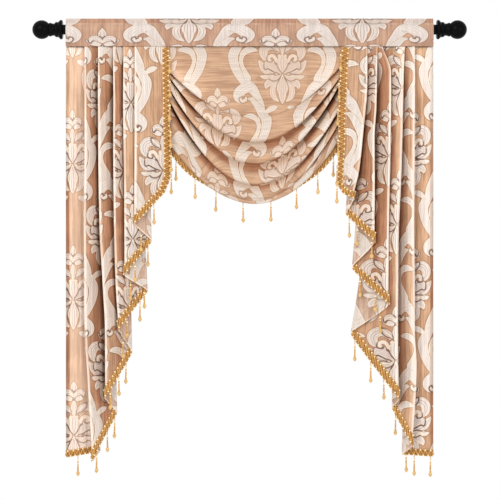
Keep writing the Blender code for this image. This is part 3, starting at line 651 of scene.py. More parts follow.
def motif_layers(pattern):
    """The motifs' distances in metres, and the veins, at places of the pattern in metres."""
    x, y = pattern.T * 1000.0
    column = np.abs((x + REPEAT_HALF) % (2.0 * REPEAT_HALF) - REPEAT_HALF) / CELL_STEP
    row = (y % REPEAT_LONG) / CELL_STEP
    left = np.floor(column).astype(int)
    top = np.floor(row).astype(int)
    found = {}
    for key, values in DAMASK_CELL.items():
        near, far = (blend(values[at, top], values[at, top + 1], row - top) for at in (left, left + 1))
        found[key] = blend(near, far, column - left) * (1.0 if key == "vein" else 0.001)
    return found


def sway(height, number, side):
    """A slow, uneven wander of a fold along its way down, from -1 to 1."""
    phase = SWAY_PHASE[0] * number + SWAY_PHASE[1] * side
    return waves(SWAY_WAVES, height, phase) / (SWAY_WAVES[0][0] + SWAY_WAVES[1][0])


def loosened(height, over=OPENING_DROP):
    """How far the pleats have come open at a height below the seam, from 0 to 1."""
    return smooth_step((BAND_BOTTOM - height) / over)


def opening(height):
    return blend(SEAM_OPENING, 1.0, loosened(height))


def turn_radius(height):
    return blend(TURN_RADIUS_AT_SEAM, TURN_RADIUS, loosened(height))


def turn_way(number):
    """Which way a turn bulges: out to the side at a front fold, and back to the middle at a back one."""
    return -1.0 if number % 2 else 1.0


class Tail:
    """One pleated tail. A point of its cloth is named by its flat distance from the inner edge, place,
    and its height. Stretches and turns alternate along the place: stretch 0, turn 0, stretch 1..."""

    def __init__(self, made):
        self.made = made
        self.side = made.side
        self.folds = made.folds
        lengths = [self.flat_length(piece) for piece in range(2 * len(self.folds) + 1)]
        self.starts = running(np.array(lengths))
        self.width = self.starts[-1]
        self.cut = [(self.starts[1] * part, height) for part, height in made.cut]
        for number, (_, low, _) in enumerate(self.folds):
            middle = (self.starts[2 * number + 1] + self.starts[2 * number + 2]) / 2.0
            self.cut.append((middle, low))
        self.cut.append((self.width, made.outer_bottom))

    def turn_centre(self, number, height):
        depth, _, way = self.folds[number]
        loose = loosened(height)
        out = curve_through(way, height) + SWAY_OUT * loose * sway(height, number, self.side)
        deep = depth * opening(height) + SWAY_DEPTH * loose * sway(height, number + 5, self.side)
        return out - turn_way(number) * turn_radius(height), deep

    def section_ends(self, number, height):
        """Both ends of a stretch, as (out, depth) pairs."""
        radius = turn_radius(height)
        if number == 0:
            start = (curve_through(self.made.inner, height), curve_through(self.made.inner_depth, height))
        else:
            out, depth = self.turn_centre(number - 1, height)
            start = (out, depth + radius)
        if number == len(self.folds):
            return start, (np.full_like(height, OUTER_EDGE), OUTER_DEPTH * opening(height))
        out, depth = self.turn_centre(number, height)
        return start, (out, depth - radius)

    def flat_length(self, piece):
        """The flat width of a stretch or turn, where it shows best."""
        if piece % 2:
            return math.pi * TURN_RADIUS
        number = piece // 2
        low = self.folds[min(number, len(self.folds) - 1)][1]
        start, end = self.section_ends(number, np.array([low * FLAT_AT]))
        return float(np.hypot(end[0] - start[0], end[1] - start[1])[0])

    def stretch_point(self, number, part, height):
        """A stretch's distance out and depth. The wide front panel has shallow upright waves."""
        start, end = self.section_ends(number, height)
        depth = blend(start[1], end[1], smooth_step(part) if number else part)
        if number == 0:
            wave = np.sin(np.pi * part) * waves(PANEL_WAVES, part, height, self.side)
            depth = depth + PANEL_WAVE * loosened(height) * wave
        return blend(start[0], end[0], part), depth

    def turn_point(self, number, part, height):
        """A turn's distance out and depth."""
        out, depth = self.turn_centre(number, height)
        angle = math.pi * (part - 0.5)
        radius = turn_radius(height)
        return out + turn_way(number) * radius * np.cos(angle), depth + radius * np.sin(angle)

    def point(self, place, height):
        place, height = np.broadcast_arrays(np.asarray(place, float), np.asarray(height, float))
        piece, t = locate(self.starts, place)
        out = np.zeros_like(place)
        depth = np.zeros_like(place)
        for number in range(len(self.starts) - 1):
            here = piece == number
            shape = self.turn_point if number % 2 else self.stretch_point
            out[here], depth[here] = shape(number // 2, t[here], height[here])
        depth = depth + FINE_RIPPLE * loosened(height) * waves(RIPPLE_WAVES, place, height, self.side)
        curl = smooth_step((place - self.width + EDGE_CURL) / EDGE_CURL)
        return joined(self.side * out, depth + EDGE_CURL * curl, height)

    def stretch_shade(self, number, out, height):
        """The painted shade of a front stretch at distances out and heights, beside the stretch that covers
        it, and the painted highlight on its glossy part.
        """
        last = number == len(self.folds)
        edge = OUTER_EDGE if last else curve_through(self.folds[number][2], height)
        cover = curve_through(self.folds[number - 2][2] if number else self.made.inner, height)
        beyond = (out - cover) / (edge - cover)
        share = np.clip(beyond, 0.0, 1.0)
        value = self.made.shades[number // 2]
        shade = np.full_like(share, value)
        if value > 0.0:
            curve = 0.5 * (1.0 - share**2) + 0.5 * (1.0 - share) ** 4
            shade = min(value, 1.0) * curve + max(value - 1.0, 0.0) * (1.0 - curve)
        shade = shade * (1.0 - COVERED_LIFT * smooth_step((-COVERED_FROM - beyond) / COVERED_OVER))
        if number:
            uncovered = smooth_step((self.folds[number - 2][1] - height) / UNCOVERED_OVER)
            shade = shade * (1.0 - UNCOVERED_LIFT * uncovered)
        # Painted shade along the outer selvedge.
        if last:
            turned = smooth_step((out - OUTER_EDGE + SELVEDGE) / SELVEDGE_EDGE)
            shows = sum(part * smooth_step((top - height) / over) for part, top, over in SELVEDGE_SHOWS)
            return blend(shade, SELVEDGE_SHADE, turned * shows)
        if number:
            # Painted highlight on the glossy part beside the fold.
            painted_gloss = self.made.painted_gloss[number // 2 - 1]
            return blend(shade, PAINTED_GLOSS_VALUE, PAINTED_GLOSS_SHARE * smooth_step((share - 1.0 + painted_gloss) / painted_gloss))
        return shade

    def painted_shading(self, place, height):
        """Painted shade and highlight on the face in its folds: from 1, deep painted shade inside them,
        through 0, to -1, a painted highlight along their crests.
        """
        place, height = np.broadcast_arrays(place, height)
        piece, t = locate(self.starts, place)
        out = np.abs(self.point(place, height)[..., 0])
        # Folded-back stretches: a painted shade of their own, and painted paler along the hem at their cut.
        above_cut = height - self.bottom(place) - HEM_STARTS * HEM_BAND
        near_cut = smooth_step(above_cut / ((1.0 - HEM_STARTS) * HEM_BAND))
        deep = blend(-1.0, REVERSE_SHADE, near_cut)
        for number in range(0, len(self.folds) + 1, 2):
            here = piece == 2 * number
            deep[here] = self.stretch_shade(number, out[here], height[here])
            # Painted highlight round each front fold.
            deep[(piece == 2 * number + 1) & (t < CREST_REACH)] = -1.0
        loose = loosened(height, SHADE_DROP)
        painted_crest = blend(CREST_AT_SEAM, 1.0, loose) * deep
        shade = blend(SHADE_AT_SEAM, 1.0, loose) * deep
        return np.where(deep < -0.5, painted_crest, np.where(deep < 0.0, deep, shade))

    def bottom(self, place):
        return np.interp(place, *np.array(self.cut).T)

    def face(self, place, height, step=0.0008):
        """The unit normal of the cloth's face side, which is its front at the inner edge."""
        across = self.point(place + step, height) - self.point(place - step, height)
        down = self.point(place, height - step) - self.point(place, height + step)
        return unit(np.cross(down, across) * self.side)

    def columns(self):
        """Places of the cloth's columns. Turns and stretches that show have them closer together."""
        found = [np.array([0.0])]
        for piece in range(len(self.starts) - 1):
            start, end = self.starts[piece], self.starts[piece + 1]
            steps = TURN_STEPS
            if piece % 2 == 0:
                space = FRONT_SPACING if piece % 4 == 0 else BACK_SPACING
                steps = max(4, round((end - start) / space))
            found.append(np.linspace(start, end, steps + 1)[1:])
        return np.concatenate(found)

    def front_of(self, out, high, low):
        """The least depth of any layer of cloth near this distance out, between two heights."""
        places = np.linspace(0.0, self.width, 400)[:, None]
        heights = np.linspace(low, high, 7)
        spots = self.point(places, heights)
        near = np.abs(np.abs(spots[..., 0]) - out) < TASSEL_ROOM
        inside = near & (heights > self.bottom(places) - CUT_SPARE)
        return float(spots[..., 1][inside].min()) if inside.any() else math.inf


def add_object(name, data):
    found = bpy.data.objects.new(name, data)
    bpy.context.scene.collection.objects.link(found)
    return found


def add_piece(name, mesh, materials):
    """A piece that rides on the frame's one body."""
    for material in materials:
        mesh.materials.append(material)
    piece = add_object(name, mesh)
    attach(piece, "root")
    return piece


def fill_mesh(name, points, quads, smooth=True):
    """A mesh of quads through the given points."""
    mesh = bpy.data.meshes.new(name)
    mesh.vertices.add(len(points))
    mesh.vertices.foreach_set("co", np.asarray(points, np.float32).ravel())
    mesh.loops.add(quads.size)
    mesh.loops.foreach_set("vertex_index", quads.astype(np.int32).ravel())
    mesh.polygons.add(len(quads))
    mesh.polygons.foreach_set("loop_start", np.arange(0, quads.size, 4, dtype=np.int32))
    mesh.polygons.foreach_set("loop_total", np.full(len(quads), 4, np.int32))
    mesh.update(calc_edges=True)
    if smooth:
        mesh.shade_smooth()
    return mesh


def grid_quads(columns, rows, closed=False):
    """Corner numbers of a grid's quads. A closed grid's last row joins its first."""
    numbers = np.arange(columns * rows).reshape(columns, rows)
    after = np.roll(numbers, -1, axis=1)
    if not closed:
        numbers, after = numbers[:, :-1], after[:, :-1]
    return joined(numbers[:-1], numbers[1:], after[1:], after[:-1]).reshape(-1, 4)


def sheet_mesh(name, points, flat, pattern, painted_shading, flip):
    """A sheet of cloth from points[column][row], with its flat coordinates, its motifs' distances and the
    painted shade and highlight of its folds.
    """
    quads = grid_quads(*points.shape[:2])
    if flip:
        quads = quads[:, ::-1]
    mesh = fill_mesh(name, points.reshape(-1, 3), quads)
    layer = mesh.uv_layers.new(name="flat")
    corner_points = np.empty(len(mesh.loops), np.int32)
    mesh.loops.foreach_get("vertex_index", corner_points)
    layer.data.foreach_set("uv", flat.reshape(-1, 2)[corner_points].astype(np.float32).ravel())
    layers = motif_layers(pattern.reshape(-1, 2))
    # The folds' painted shade and highlight, which the cloth's material reads.
    layers["painted_shading"] = np.broadcast_to(painted_shading, points.shape[:2]).ravel()
    for key, values in layers.items():
        attribute = mesh.attributes.new(key, "FLOAT", "POINT")
        attribute.data.foreach_set("value", values.astype(np.float32))
    return mesh


def add_cloth(name, mesh, face, reverse):
    cloth = add_piece(name, mesh, (face, reverse))
    solidify = cloth.modifiers.new("thickness", "SOLIDIFY")
    solidify.thickness = CLOTH_THICKNESS
    solidify.offset = 0.0
    solidify.material_offset = 1
    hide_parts(name.removesuffix("_cloth"))
    return cloth


def pattern_across(tail, place):
    """How far a place lies from the axis of the outermost medallions. The pattern is true to size where the
    cloth shows, and gains or loses a little behind the folds."""
    knots = []
    for number, value in zip(range(0, len(tail.folds), 2), tail.made.pattern):
        edge = tail.starts[2 * number + 1]
        if number:
            _, low, cover = tail.folds[number - 2]
            levels = np.linspace(BAND_BOTTOM, low, 9)
            beside = curve_through(tail.folds[number][2], levels) - curve_through(cover, levels)
            shown = float(np.max(beside)) + PATTERN_SPARE
            knots.append((edge - shown, value + shown))
        else:
            knots.append((0.0, value + edge))
        knots.append((edge, value))
    cover = curve_through(tail.folds[-2][2], np.linspace(BAND_BOTTOM, PATTERN_LOW, 9))
    shown = OUTER_EDGE - float(np.min(cover)) + PATTERN_SPARE
    knots.append((tail.width - shown, shown - tail.made.axis))
    knots.append((tail.width, -tail.made.axis))
    return np.interp(place, *np.array(knots).T)


def tail_cloth(name, tail, face, reverse):
    places = tail.columns()
    top = BAND_BOTTOM - SEAM_GAP
    heights = blend(top, tail.bottom(places)[:, None], np.linspace(0.0, 1.0, TAIL_ROWS))
    points = tail.point(places[:, None], heights)
    flat = joined(places[:, None], top - heights)
    from_axis = pattern_across(tail, flat[..., 0])
    drop = tail.made.medallion + tail.made.lower * smooth_step((from_axis - LOWER_FROM) / LOWER_OVER)
    pattern = joined(from_axis, flat[..., 1] - drop)
    mesh = sheet_mesh(name, points, flat, pattern, tail.painted_shading(places[:, None], heights), tail.side > 0.0)
    cloth = add_cloth(name + "_cloth", mesh, face, reverse)
    area = float(np.trapz(top - tail.bottom(places), places))
    return cloth, (tail.width, float(top - tail.bottom(places).min())), area


def smooth_rows(rows, rounds):
    """Rounds off a run of rows by cutting its corners, and keeps both of its ends."""
    for _ in range(rounds):
        early = 0.75 * rows[:-1] + 0.25 * rows[1:]
        late = 0.25 * rows[:-1] + 0.75 * rows[1:]
        middle = np.stack([early, late], axis=1).reshape(-1, *rows.shape[1:])
        rows = np.concatenate([rows[:1], middle, rows[-1:]])
    return rows


def sagging(left, middle, right, across):
    """A sagging line's height at each place across the swag, which runs from -1 to 1."""
    side = np.where(across < 0.0, left, right)
    return blend(middle, side, (np.abs(across) / SWAG_SEEN) ** SAG_POWER)


def swag_rows(across):
    """The swag's rows from the seam to the turned-up hem: (depth, height, painted shade, pattern skipped)
    each.
    """
    reach = np.abs(across)
    pleated = smooth_step((reach - WAVE_STARTS) / (1.0 - WAVE_STARTS))
    belly = 1.0 - reach**BELLY_POWER
    none = np.zeros_like(across)
    behind, above, shaded, skip = none, np.full_like(across, SWAG_TOP), none, none
    rows = [(behind, above, shaded, skip)]
    for left, middle, right, front, left_fold, middle_fold, right_fold, hidden, dark in SWAG_FOLDS:
        side_fold = np.where(across < 0.0, left_fold, right_fold)
        strength = blend(middle_fold, side_fold, smooth_step(reach / FOLD_FADES))
        tucked = pleated * strength
        lip = sagging(left, middle, right, across)
        face = blend(SIDE_FRONT, front, belly)
        back = face + strength * blend(WAVE_DEPTH, SIDE_BACK - SIDE_FRONT, tucked)
        turn = SIDE_TURN * strength
        drop = above - lip
        # Painted shade in the hollows, towards the right side where the swag hangs slacker.
        slack_shade = SWAG_SLACK_SHADE * smooth_step(across / SLACK_REACH) * np.minimum(shaded, 1.0)
        parts = (shaded, (1.0 - pleated) * shaded, slack_shade, strength, tucked)
        for share, far, forward, *shades in BELOW_CREASE:
            down = np.minimum(blend(share * drop, far, pleated), share * drop)
            rows.append((blend(behind, face, forward), above - down, mixed(shades, parts), skip))
        for bulge, share, *shades in ON_FACE:
            rows.append((face - bulge * belly, lip + share * drop, mixed(shades, parts), skip))
        rows.append((face + LIP_FRONT * turn, lip, mixed(LIP_SHADES, parts), skip))
        loose = 1.0 - tucked
        under_depth = face + tucked * UNDER_TUCK[0] * turn + loose * UNDER_WAVE[0] * (back - face)
        under_height = lip + tucked * UNDER_TUCK[1] * turn - loose * UNDER_WAVE[1] * WAVE_BELOW * strength
        # Painted shade in the crease under the lip, darker where the cloth is tucked.
        shaded = dark * strength * (CREASE_IN_WAVE + CREASE_IN_TUCK * tucked**CREASE_POWER)
        rows.append((under_depth, under_height, shaded, skip))
        skip = skip + hidden * strength * smooth_step((reach - SKIP_STARTS) / SKIP_OVER)
        inside = lip + (tucked * SIDE_HIDE - loose * WAVE_BELOW * strength)
        rows.append((back - tucked * turn, inside, shaded, skip))
        below = inside - tucked * TUCK_BACK * turn - loose * WAVE_THICK
        rows.append((back + tucked * turn, below, shaded, skip))
        above, behind = lip, back
    hem = sagging(*SWAG_HEM, across)
    face = blend(SIDE_FRONT, SWAG_HEM_DEPTH, belly)
    for forward, share, dark, shade in TO_HEM:
        depth = blend(behind, face, forward)
        rows.append((depth, hem + share * (above - hem), dark * shaded + shade, skip))
    for share, rise, shade in ROUND_HEM:
        rows.append((face + share * HEM_ROLL, hem + rise, none + shade, skip))
    return rows


def swag_cloth(face, reverse):
    across = np.linspace(-1.0, 1.0, SWAG_COLUMNS)
    rows = smooth_rows(np.array([joined(*row) for row in swag_rows(across)]), 3)
    profile = rows.transpose(1, 0, 2)
    length = arc_length(profile[..., :2])
    values = np.concatenate([profile, length[..., None]], axis=-1)
    keys = KEY_SHARES[0] * length / length[:, -1:] + KEY_SHARES[1] * np.linspace(0.0, 1.0, len(rows))
    at = np.linspace(0.0, 1.0, SWAG_ROWS)
    found = [[np.interp(at, key, line) for line in column.T] for key, column in zip(keys, values)]
    depth, height, shade, skip, down = np.array(found).transpose(1, 0, 2)
    x = np.broadcast_to((SWAG_MIDDLE + across * SWAG_HALF_WIDTH)[:, None], depth.shape)
    points = joined(x, depth, height)
    flat = joined(x, down)
    pattern = joined(x - SWAG_AXIS, down + skip - SWAG_MEDALLION)
    mesh = sheet_mesh("swag", points, flat, pattern, shade, True)
    cloth = add_cloth("swag_cloth", mesh, face, reverse)
    area = float(np.trapz(down[:, -1], x[:, 0]))
    return cloth, (2.0 * SWAG_HALF_WIDTH, float(down.max())), area


def near_stitches(height, width):
    """How near heights lie to the frill's stitching, fading from 1 over a width."""
    return np.exp(-(((height - STITCH_HEIGHT) / width) ** 2))


def heading_cloth(face, reverse):
    front = [(-depth, height) for depth, height in reversed(BAND_SECTION)]
    section = smooth_rows(np.array([*BAND_SECTION, (0.0, BAND_TOP), *front]), 2)
    depth, height = section.T
    across = np.linspace(-BAND_HALF_WIDTH, BAND_HALF_WIDTH, BAND_COLUMNS)[:, None]
    ripple = BAND_RIPPLE * np.sin(across * math.tau / BAND_RIPPLE_LENGTH)
    pucker = sum(size * np.sin(across * math.tau / length + turn) for size, length, turn in BAND_PUCKERS)
    pucker = np.where(depth > 0.0, 1.0, -1.0) * (FREE_PUCKER + near_stitches(height, STITCH_DRAW)) * pucker
    depth = depth - ripple * smooth_step(height / BAND_BOTTOM) + pucker
    points = joined(across, depth, height)
    length = arc_length(points)
    flat = joined(points[..., 0], length)
    from_top = length - length[:, len(section) // 2, None]
    pattern = joined(points[..., 0] - HEADING_AXIS, from_top) / HEADING_LARGER
    # Painted shade over the frill and along the seam, and a painted highlight along the stitching's
    # puckers.
    seam = SEAM_SHADE * smooth_step((BAND_BOTTOM + SEAM_REACH[0] - height) / SEAM_REACH[1])
    frill = FRILL_SHADE * smooth_step((height - STITCH_HEIGHT) / FRILL_OVER)
    puckered = 0.5 + 0.5 * np.sin(across * STITCH_PUCKERS[0]) * np.sin(across * STITCH_PUCKERS[1] + 1.0)
    stitch_highlight = (STITCH_PAINTED_HIGHLIGHT[0] + STITCH_PAINTED_HIGHLIGHT[1] * puckered) * near_stitches(height, STITCH_WIDTH)
    mesh = sheet_mesh("heading", points, flat, pattern, HEADING_SHADE + frill + seam - stitch_highlight, True)
    cloth = add_cloth("heading_cloth", mesh, face, reverse)
    return cloth, (2.0 * BAND_HALF_WIDTH, float(length[0, -1]))


class Builder:
    """Gathers the quads of many small shapes into one mesh with several materials."""

    def __init__(self):
        self.points = []
        self.quads = []
        self.marks = []
        self.count = 0

    def add(self, points, quads, mark):
        self.points.append(points.reshape(-1, 3))
        self.quads.append(quads + self.count)
        self.marks.append(np.full(len(quads), mark, np.int32))
        self.count += len(self.points[-1])

    def mesh(self, name):
        mesh = fill_mesh(name, np.concatenate(self.points), np.concatenate(self.quads))
        mesh.polygons.foreach_set("material_index", np.concatenate(self.marks))
        return mesh


def add_tube(builder, line, radius, sides, mark, up=(0.0, -1.0, 0.0)):
    """A round tube along a line, as thick as radius says at each of its points."""
    line = np.asarray(line, float)
    radius = np.broadcast_to(np.asarray(radius, float), len(line))
    along = unit(np.gradient(line, axis=0), 1e-9)
    side = np.cross(along, up)
    weak = np.linalg.norm(side, axis=1, keepdims=True) < 1e-3
    side = unit(np.where(weak, np.cross(along, (1.0, 0.0, 0.0)), side))
    top = np.cross(side, along)
    turns = np.arange(sides) * math.tau / sides
    ring = np.cos(turns)[:, None] * side[:, None, :] + np.sin(turns)[:, None] * top[:, None, :]
    points = line[:, None, :] + radius[:, None, None] * ring
    builder.add(points, grid_quads(len(line), sides, closed=True), mark)


def add_bead(builder, centre, radius, tall, mark, sides=8, rings=6):
    """A small turned bead: its radius, and its height as a share of its width."""
    angles = np.linspace(0.03, math.pi - 0.03, rings)
    line = np.array([[0.0, 0.0, math.cos(angle) * radius * tall] for angle in angles]) + centre
    add_tube(builder, line, np.sin(angles) * radius, sides, mark)


class Band:
    """A narrow band that follows the cloth. Its spot gives the point and the cloth's normal for a distance
    along, a distance in from the outer edge and a lift. Values name distances along it."""

    def __init__(self, along, values, spot):
        self.length = float(along[-1])
        self.along = along
        self.values = values
        self.spot = spot

    def tassel_spot(self, value, inset, lift):
        """Where a tassel leaves the band."""
        distance = np.interp([value], self.values, self.along)
        return self.spot(distance, np.array([inset]), np.array([lift]))[0][0]


def tail_band(tail):
    """The band round a tail's inner edge and along its slanted edge. Its values are heights above the
    corner, as less than zero, and then places of the cloth."""
    corner = tail.cut[0][1]
    heights = np.linspace(BAND_BOTTOM - BRAID_TOP_GAP, corner, 140)
    places = np.append(np.arange(0.0, tail.width + 1e-9, CUT_STEP)[1:], tail.width)
    place = np.concatenate([np.zeros_like(heights), places])
    height = np.concatenate([heights, tail.bottom(places)])
    fall = tail.bottom(places + SLANT_STEP) - tail.bottom(places - SLANT_STEP)
    inward = unit(joined(-fall, 2.0 * SLANT_STEP))
    turn = smooth_step(places / tail.starts[1])[:, None]
    way = unit(inward * (1.0 - turn) + np.array([0.0, 1.0]) * turn)
    way /= np.sum(way * inward, axis=1, keepdims=True)
    across = np.concatenate([np.ones_like(heights), way[:, 0]])
    up = np.concatenate([np.zeros_like(heights), way[:, 1]])
    along = arc_length(tail.point(place, height))

    def spot(distance, width, lift):
        here = np.interp(distance, along, place) + np.interp(distance, along, across) * width
        level = np.interp(distance, along, height) + np.interp(distance, along, up) * width
        level = np.minimum(level, BAND_BOTTOM - BRAID_TOP_GAP)
        spill = np.minimum(here, 0.0)
        here = np.clip(here, 0.0, tail.width)
        points = tail.point(here, level)
        points[..., 0] += tail.side * spill
        normal = tail.face(np.clip(here, 0.001, tail.width - 0.001), level)
        return points + normal * np.asarray(lift)[..., None], normal

    return Band(along, np.concatenate([corner - heights, places]), spot)


def swag_band():
    """The band behind the swag's rolled hem. Its values are distances across."""
    across = np.linspace(-SWAG_SEEN, SWAG_SEEN, 240)
    seat = swag_rows(across)[-1]
    hem = sagging(*SWAG_HEM, across)
    left, middle, right = SWAG_BRAID_RISE
    ends = np.where(across < 0.0, left, right)
    rise = blend(middle, ends, smooth_step((np.abs(across) - RISE_FROM) / RISE_OVER))
    x = SWAG_MIDDLE + across * SWAG_HALF_WIDTH
    y = seat[0] + CLOTH_THICKNESS / 2.0 + SWAG_BRAID_GAP
    tall = np.hypot(1.0, np.gradient(hem, x))
    low = hem + rise - BRAID_WIDTH / 2.0 * tall
    along = running(np.hypot(np.diff(x), np.diff(low)))

    def spot(distance, width, lift):
        depth = np.interp(distance, along, y) + SWAG_BRAID_DEPTH - np.asarray(lift)
        height = np.interp(distance, along, low) + np.interp(distance, along, tall) * width
        points = joined(np.interp(distance, along, x), depth, height)
        return points, np.broadcast_to((0.0, -1.0, 0.0), points.shape)

    return Band(along, x, spot)


def add_gimp(builder, band):
    """A gimp braid: a dark tape with corded edges, a zigzag cord over it, and knots at its turns."""

    def line(distance, width, lift):
        return band.spot(distance, np.full(len(distance), width), np.full(len(distance), lift))

    distance = np.linspace(0.0, band.length, max(8, round(band.length / GIMP_STEP)))
    rows = []
    for width, lift in GIMP_TAPE:
        rows.append(line(distance, width * BRAID_WIDTH, CLOTH_THICKNESS / 2.0 + lift)[0])
    builder.add(np.stack(rows, axis=1), grid_quads(len(distance), len(GIMP_TAPE), closed=True), TAPE)
    for width in (EDGE_CORD_INSET, BRAID_WIDTH - EDGE_CORD_INSET):
        points, up = line(distance, width, EDGE_CORD_LIFT)
        add_tube(builder, points, EDGE_CORD_RADIUS, 6, CORD, up)
    waves = max(2, round(band.length / GIMP_WAVE))
    fine = np.linspace(0.0, band.length, waves * 10 + 1)
    width = BRAID_WIDTH / 2.0 + GIMP_SWING * np.sin(fine / band.length * waves * math.tau)
    points, up = band.spot(fine, width, np.full(len(fine), GIMP_CORD_LIFT))
    add_tube(builder, points, GIMP_CORD_RADIUS, 6, CORD, up)
    for width, shift in ((BRAID_WIDTH - KNOT_INSET, 0.25), (KNOT_INSET, 0.75)):
        starts = (np.arange(waves) + shift) / waves * band.length
        for knot in line(starts, width, KNOT_LIFT)[0]:
            add_bead(builder, knot, KNOT_RADIUS, BEAD_TALL, PALE_BEAD, sides=7, rings=5)
        for loop in line(starts, BRAID_WIDTH - width, KNOT_LIFT)[0]:
            add_bead(builder, loop, LOOP_RADIUS, BEAD_TALL, CORD, sides=6, rings=4)


def add_tassel(builder, leave, hang, seed):
    """A hanging tassel: a cord, a small bead, a slim bundle of threads and a fat bead at its end."""
    lean = TASSEL_LEAN * math.sin(seed * TASSEL_LEAN_TURN)

    def below(drop, shift=0.0):
        return joined(hang[0] + shift, hang[1], hang[2] - drop)

    knot_drop, knot_radius = TASSEL_KNOT
    knot = below(knot_drop)
    steps = np.linspace(0.0, 1.0, 7)
    line = leave + (knot - leave) * steps[:, None]
    line[:, 1] = blend(leave[1], knot[1], smooth_step(steps * TASSEL_FORWARD))
    add_tube(builder, line, TASSEL_CORD_RADIUS, 6, CORD)
    add_bead(builder, knot, knot_radius, BEAD_TALL, PALE_BEAD)
    drops, radius = np.array(TASSEL_BUNDLE).T
    add_tube(builder, below(drops, lean * drops / TASSEL_LEAN_DROP), radius, 8, CORD)
    for (drop, size), mark in zip(TASSEL_BEADS, (PALE_BEAD, CORD, PALE_BEAD)):
        add_bead(builder, below(drop), size, TASSEL_BEAD_TALL, mark)
    drops, radius = np.array(TASSEL_END).T
    add_tube(builder, below(drops, lean), radius, 10, AMBER_DROP)


def add_trim(name, builder, materials):
    trim = add_piece(name + "_trim", builder.mesh(name), materials)
    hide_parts(name)
    return trim


def tail_trim(name, tail, materials):
    band = tail_band(tail)
    builder = Builder()
    add_gimp(builder, band)
    marks = [tail.cut[0][1] - height for height in tail.made.edge_tassels]
    for stretch, part in tail.made.cut_tassels:
        start, end = tail.starts[2 * stretch], tail.starts[2 * stretch + 1]
        marks.append(blend(start, end, part))
    for seed, mark in enumerate(marks):
        leave = band.tassel_spot(mark, *TAIL_TASSEL_SPOT)
        if mark < 0.0:
            leave[0] -= tail.side * TASSEL_OUT
        hang = leave.copy()
        front = tail.front_of(abs(hang[0]), hang[2] - TASSEL_SPAN[0], hang[2] - TASSEL_SPAN[1])
        hang[1] = min(hang[1], front - TASSEL_CLEARANCE)
        add_tassel(builder, leave, hang, seed)
    return add_trim(name, builder, materials)


def swag_trim(materials):
    band = swag_band()
    builder = Builder()
    add_gimp(builder, band)
    for seed, x in enumerate(SWAG_TASSELS):
        leave = band.tassel_spot(x, *SWAG_TASSEL_SPOT)
        add_tassel(builder, leave, leave, seed)
    return add_trim("braid_swag", builder, materials)


def finial_profile():
    """The finial's outline from its tip to its socket: (radius, distance out from the rod's end)."""
    angles = FINIAL_BALL_TURN * np.arange(FINIAL_BALL_STEPS) / (FINIAL_BALL_STEPS - 1)
    radius = FINIAL_BALL_RADIUS * np.sin(angles) + FINIAL_TIP_RADIUS
    ball = joined(radius, FINIAL_BALL_CENTRE + FINIAL_BALL_RADIUS * np.cos(angles))
    neck = smooth_rows(np.array(FINIAL_NECK)[::-1, ::-1], 2)
    return np.concatenate([ball, neck, FINIAL_COLLAR])


def turned_finial(name, side, material):
    profile = finial_profile()
    turns = np.arange(FINIAL_SIDES) * math.tau / FINIAL_SIDES
    out = side * (ROD_HALF_LENGTH + FINIAL_GAP + profile[:, 1:])
    rings = joined(out, profile[:, :1] * np.cos(turns), profile[:, :1] * np.sin(turns))
    quads = grid_quads(len(profile), FINIAL_SIDES, closed=True)
    if side > 0.0:
        quads = quads[:, ::-1]
    mesh = fill_mesh(name, rings.reshape(-1, 3), quads)
    finial = add_piece(name + "_turned", mesh, (material,))
    mesh.set_sharp_from_angle(angle=FINIAL_SHARP)
    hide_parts(name)
    return finial


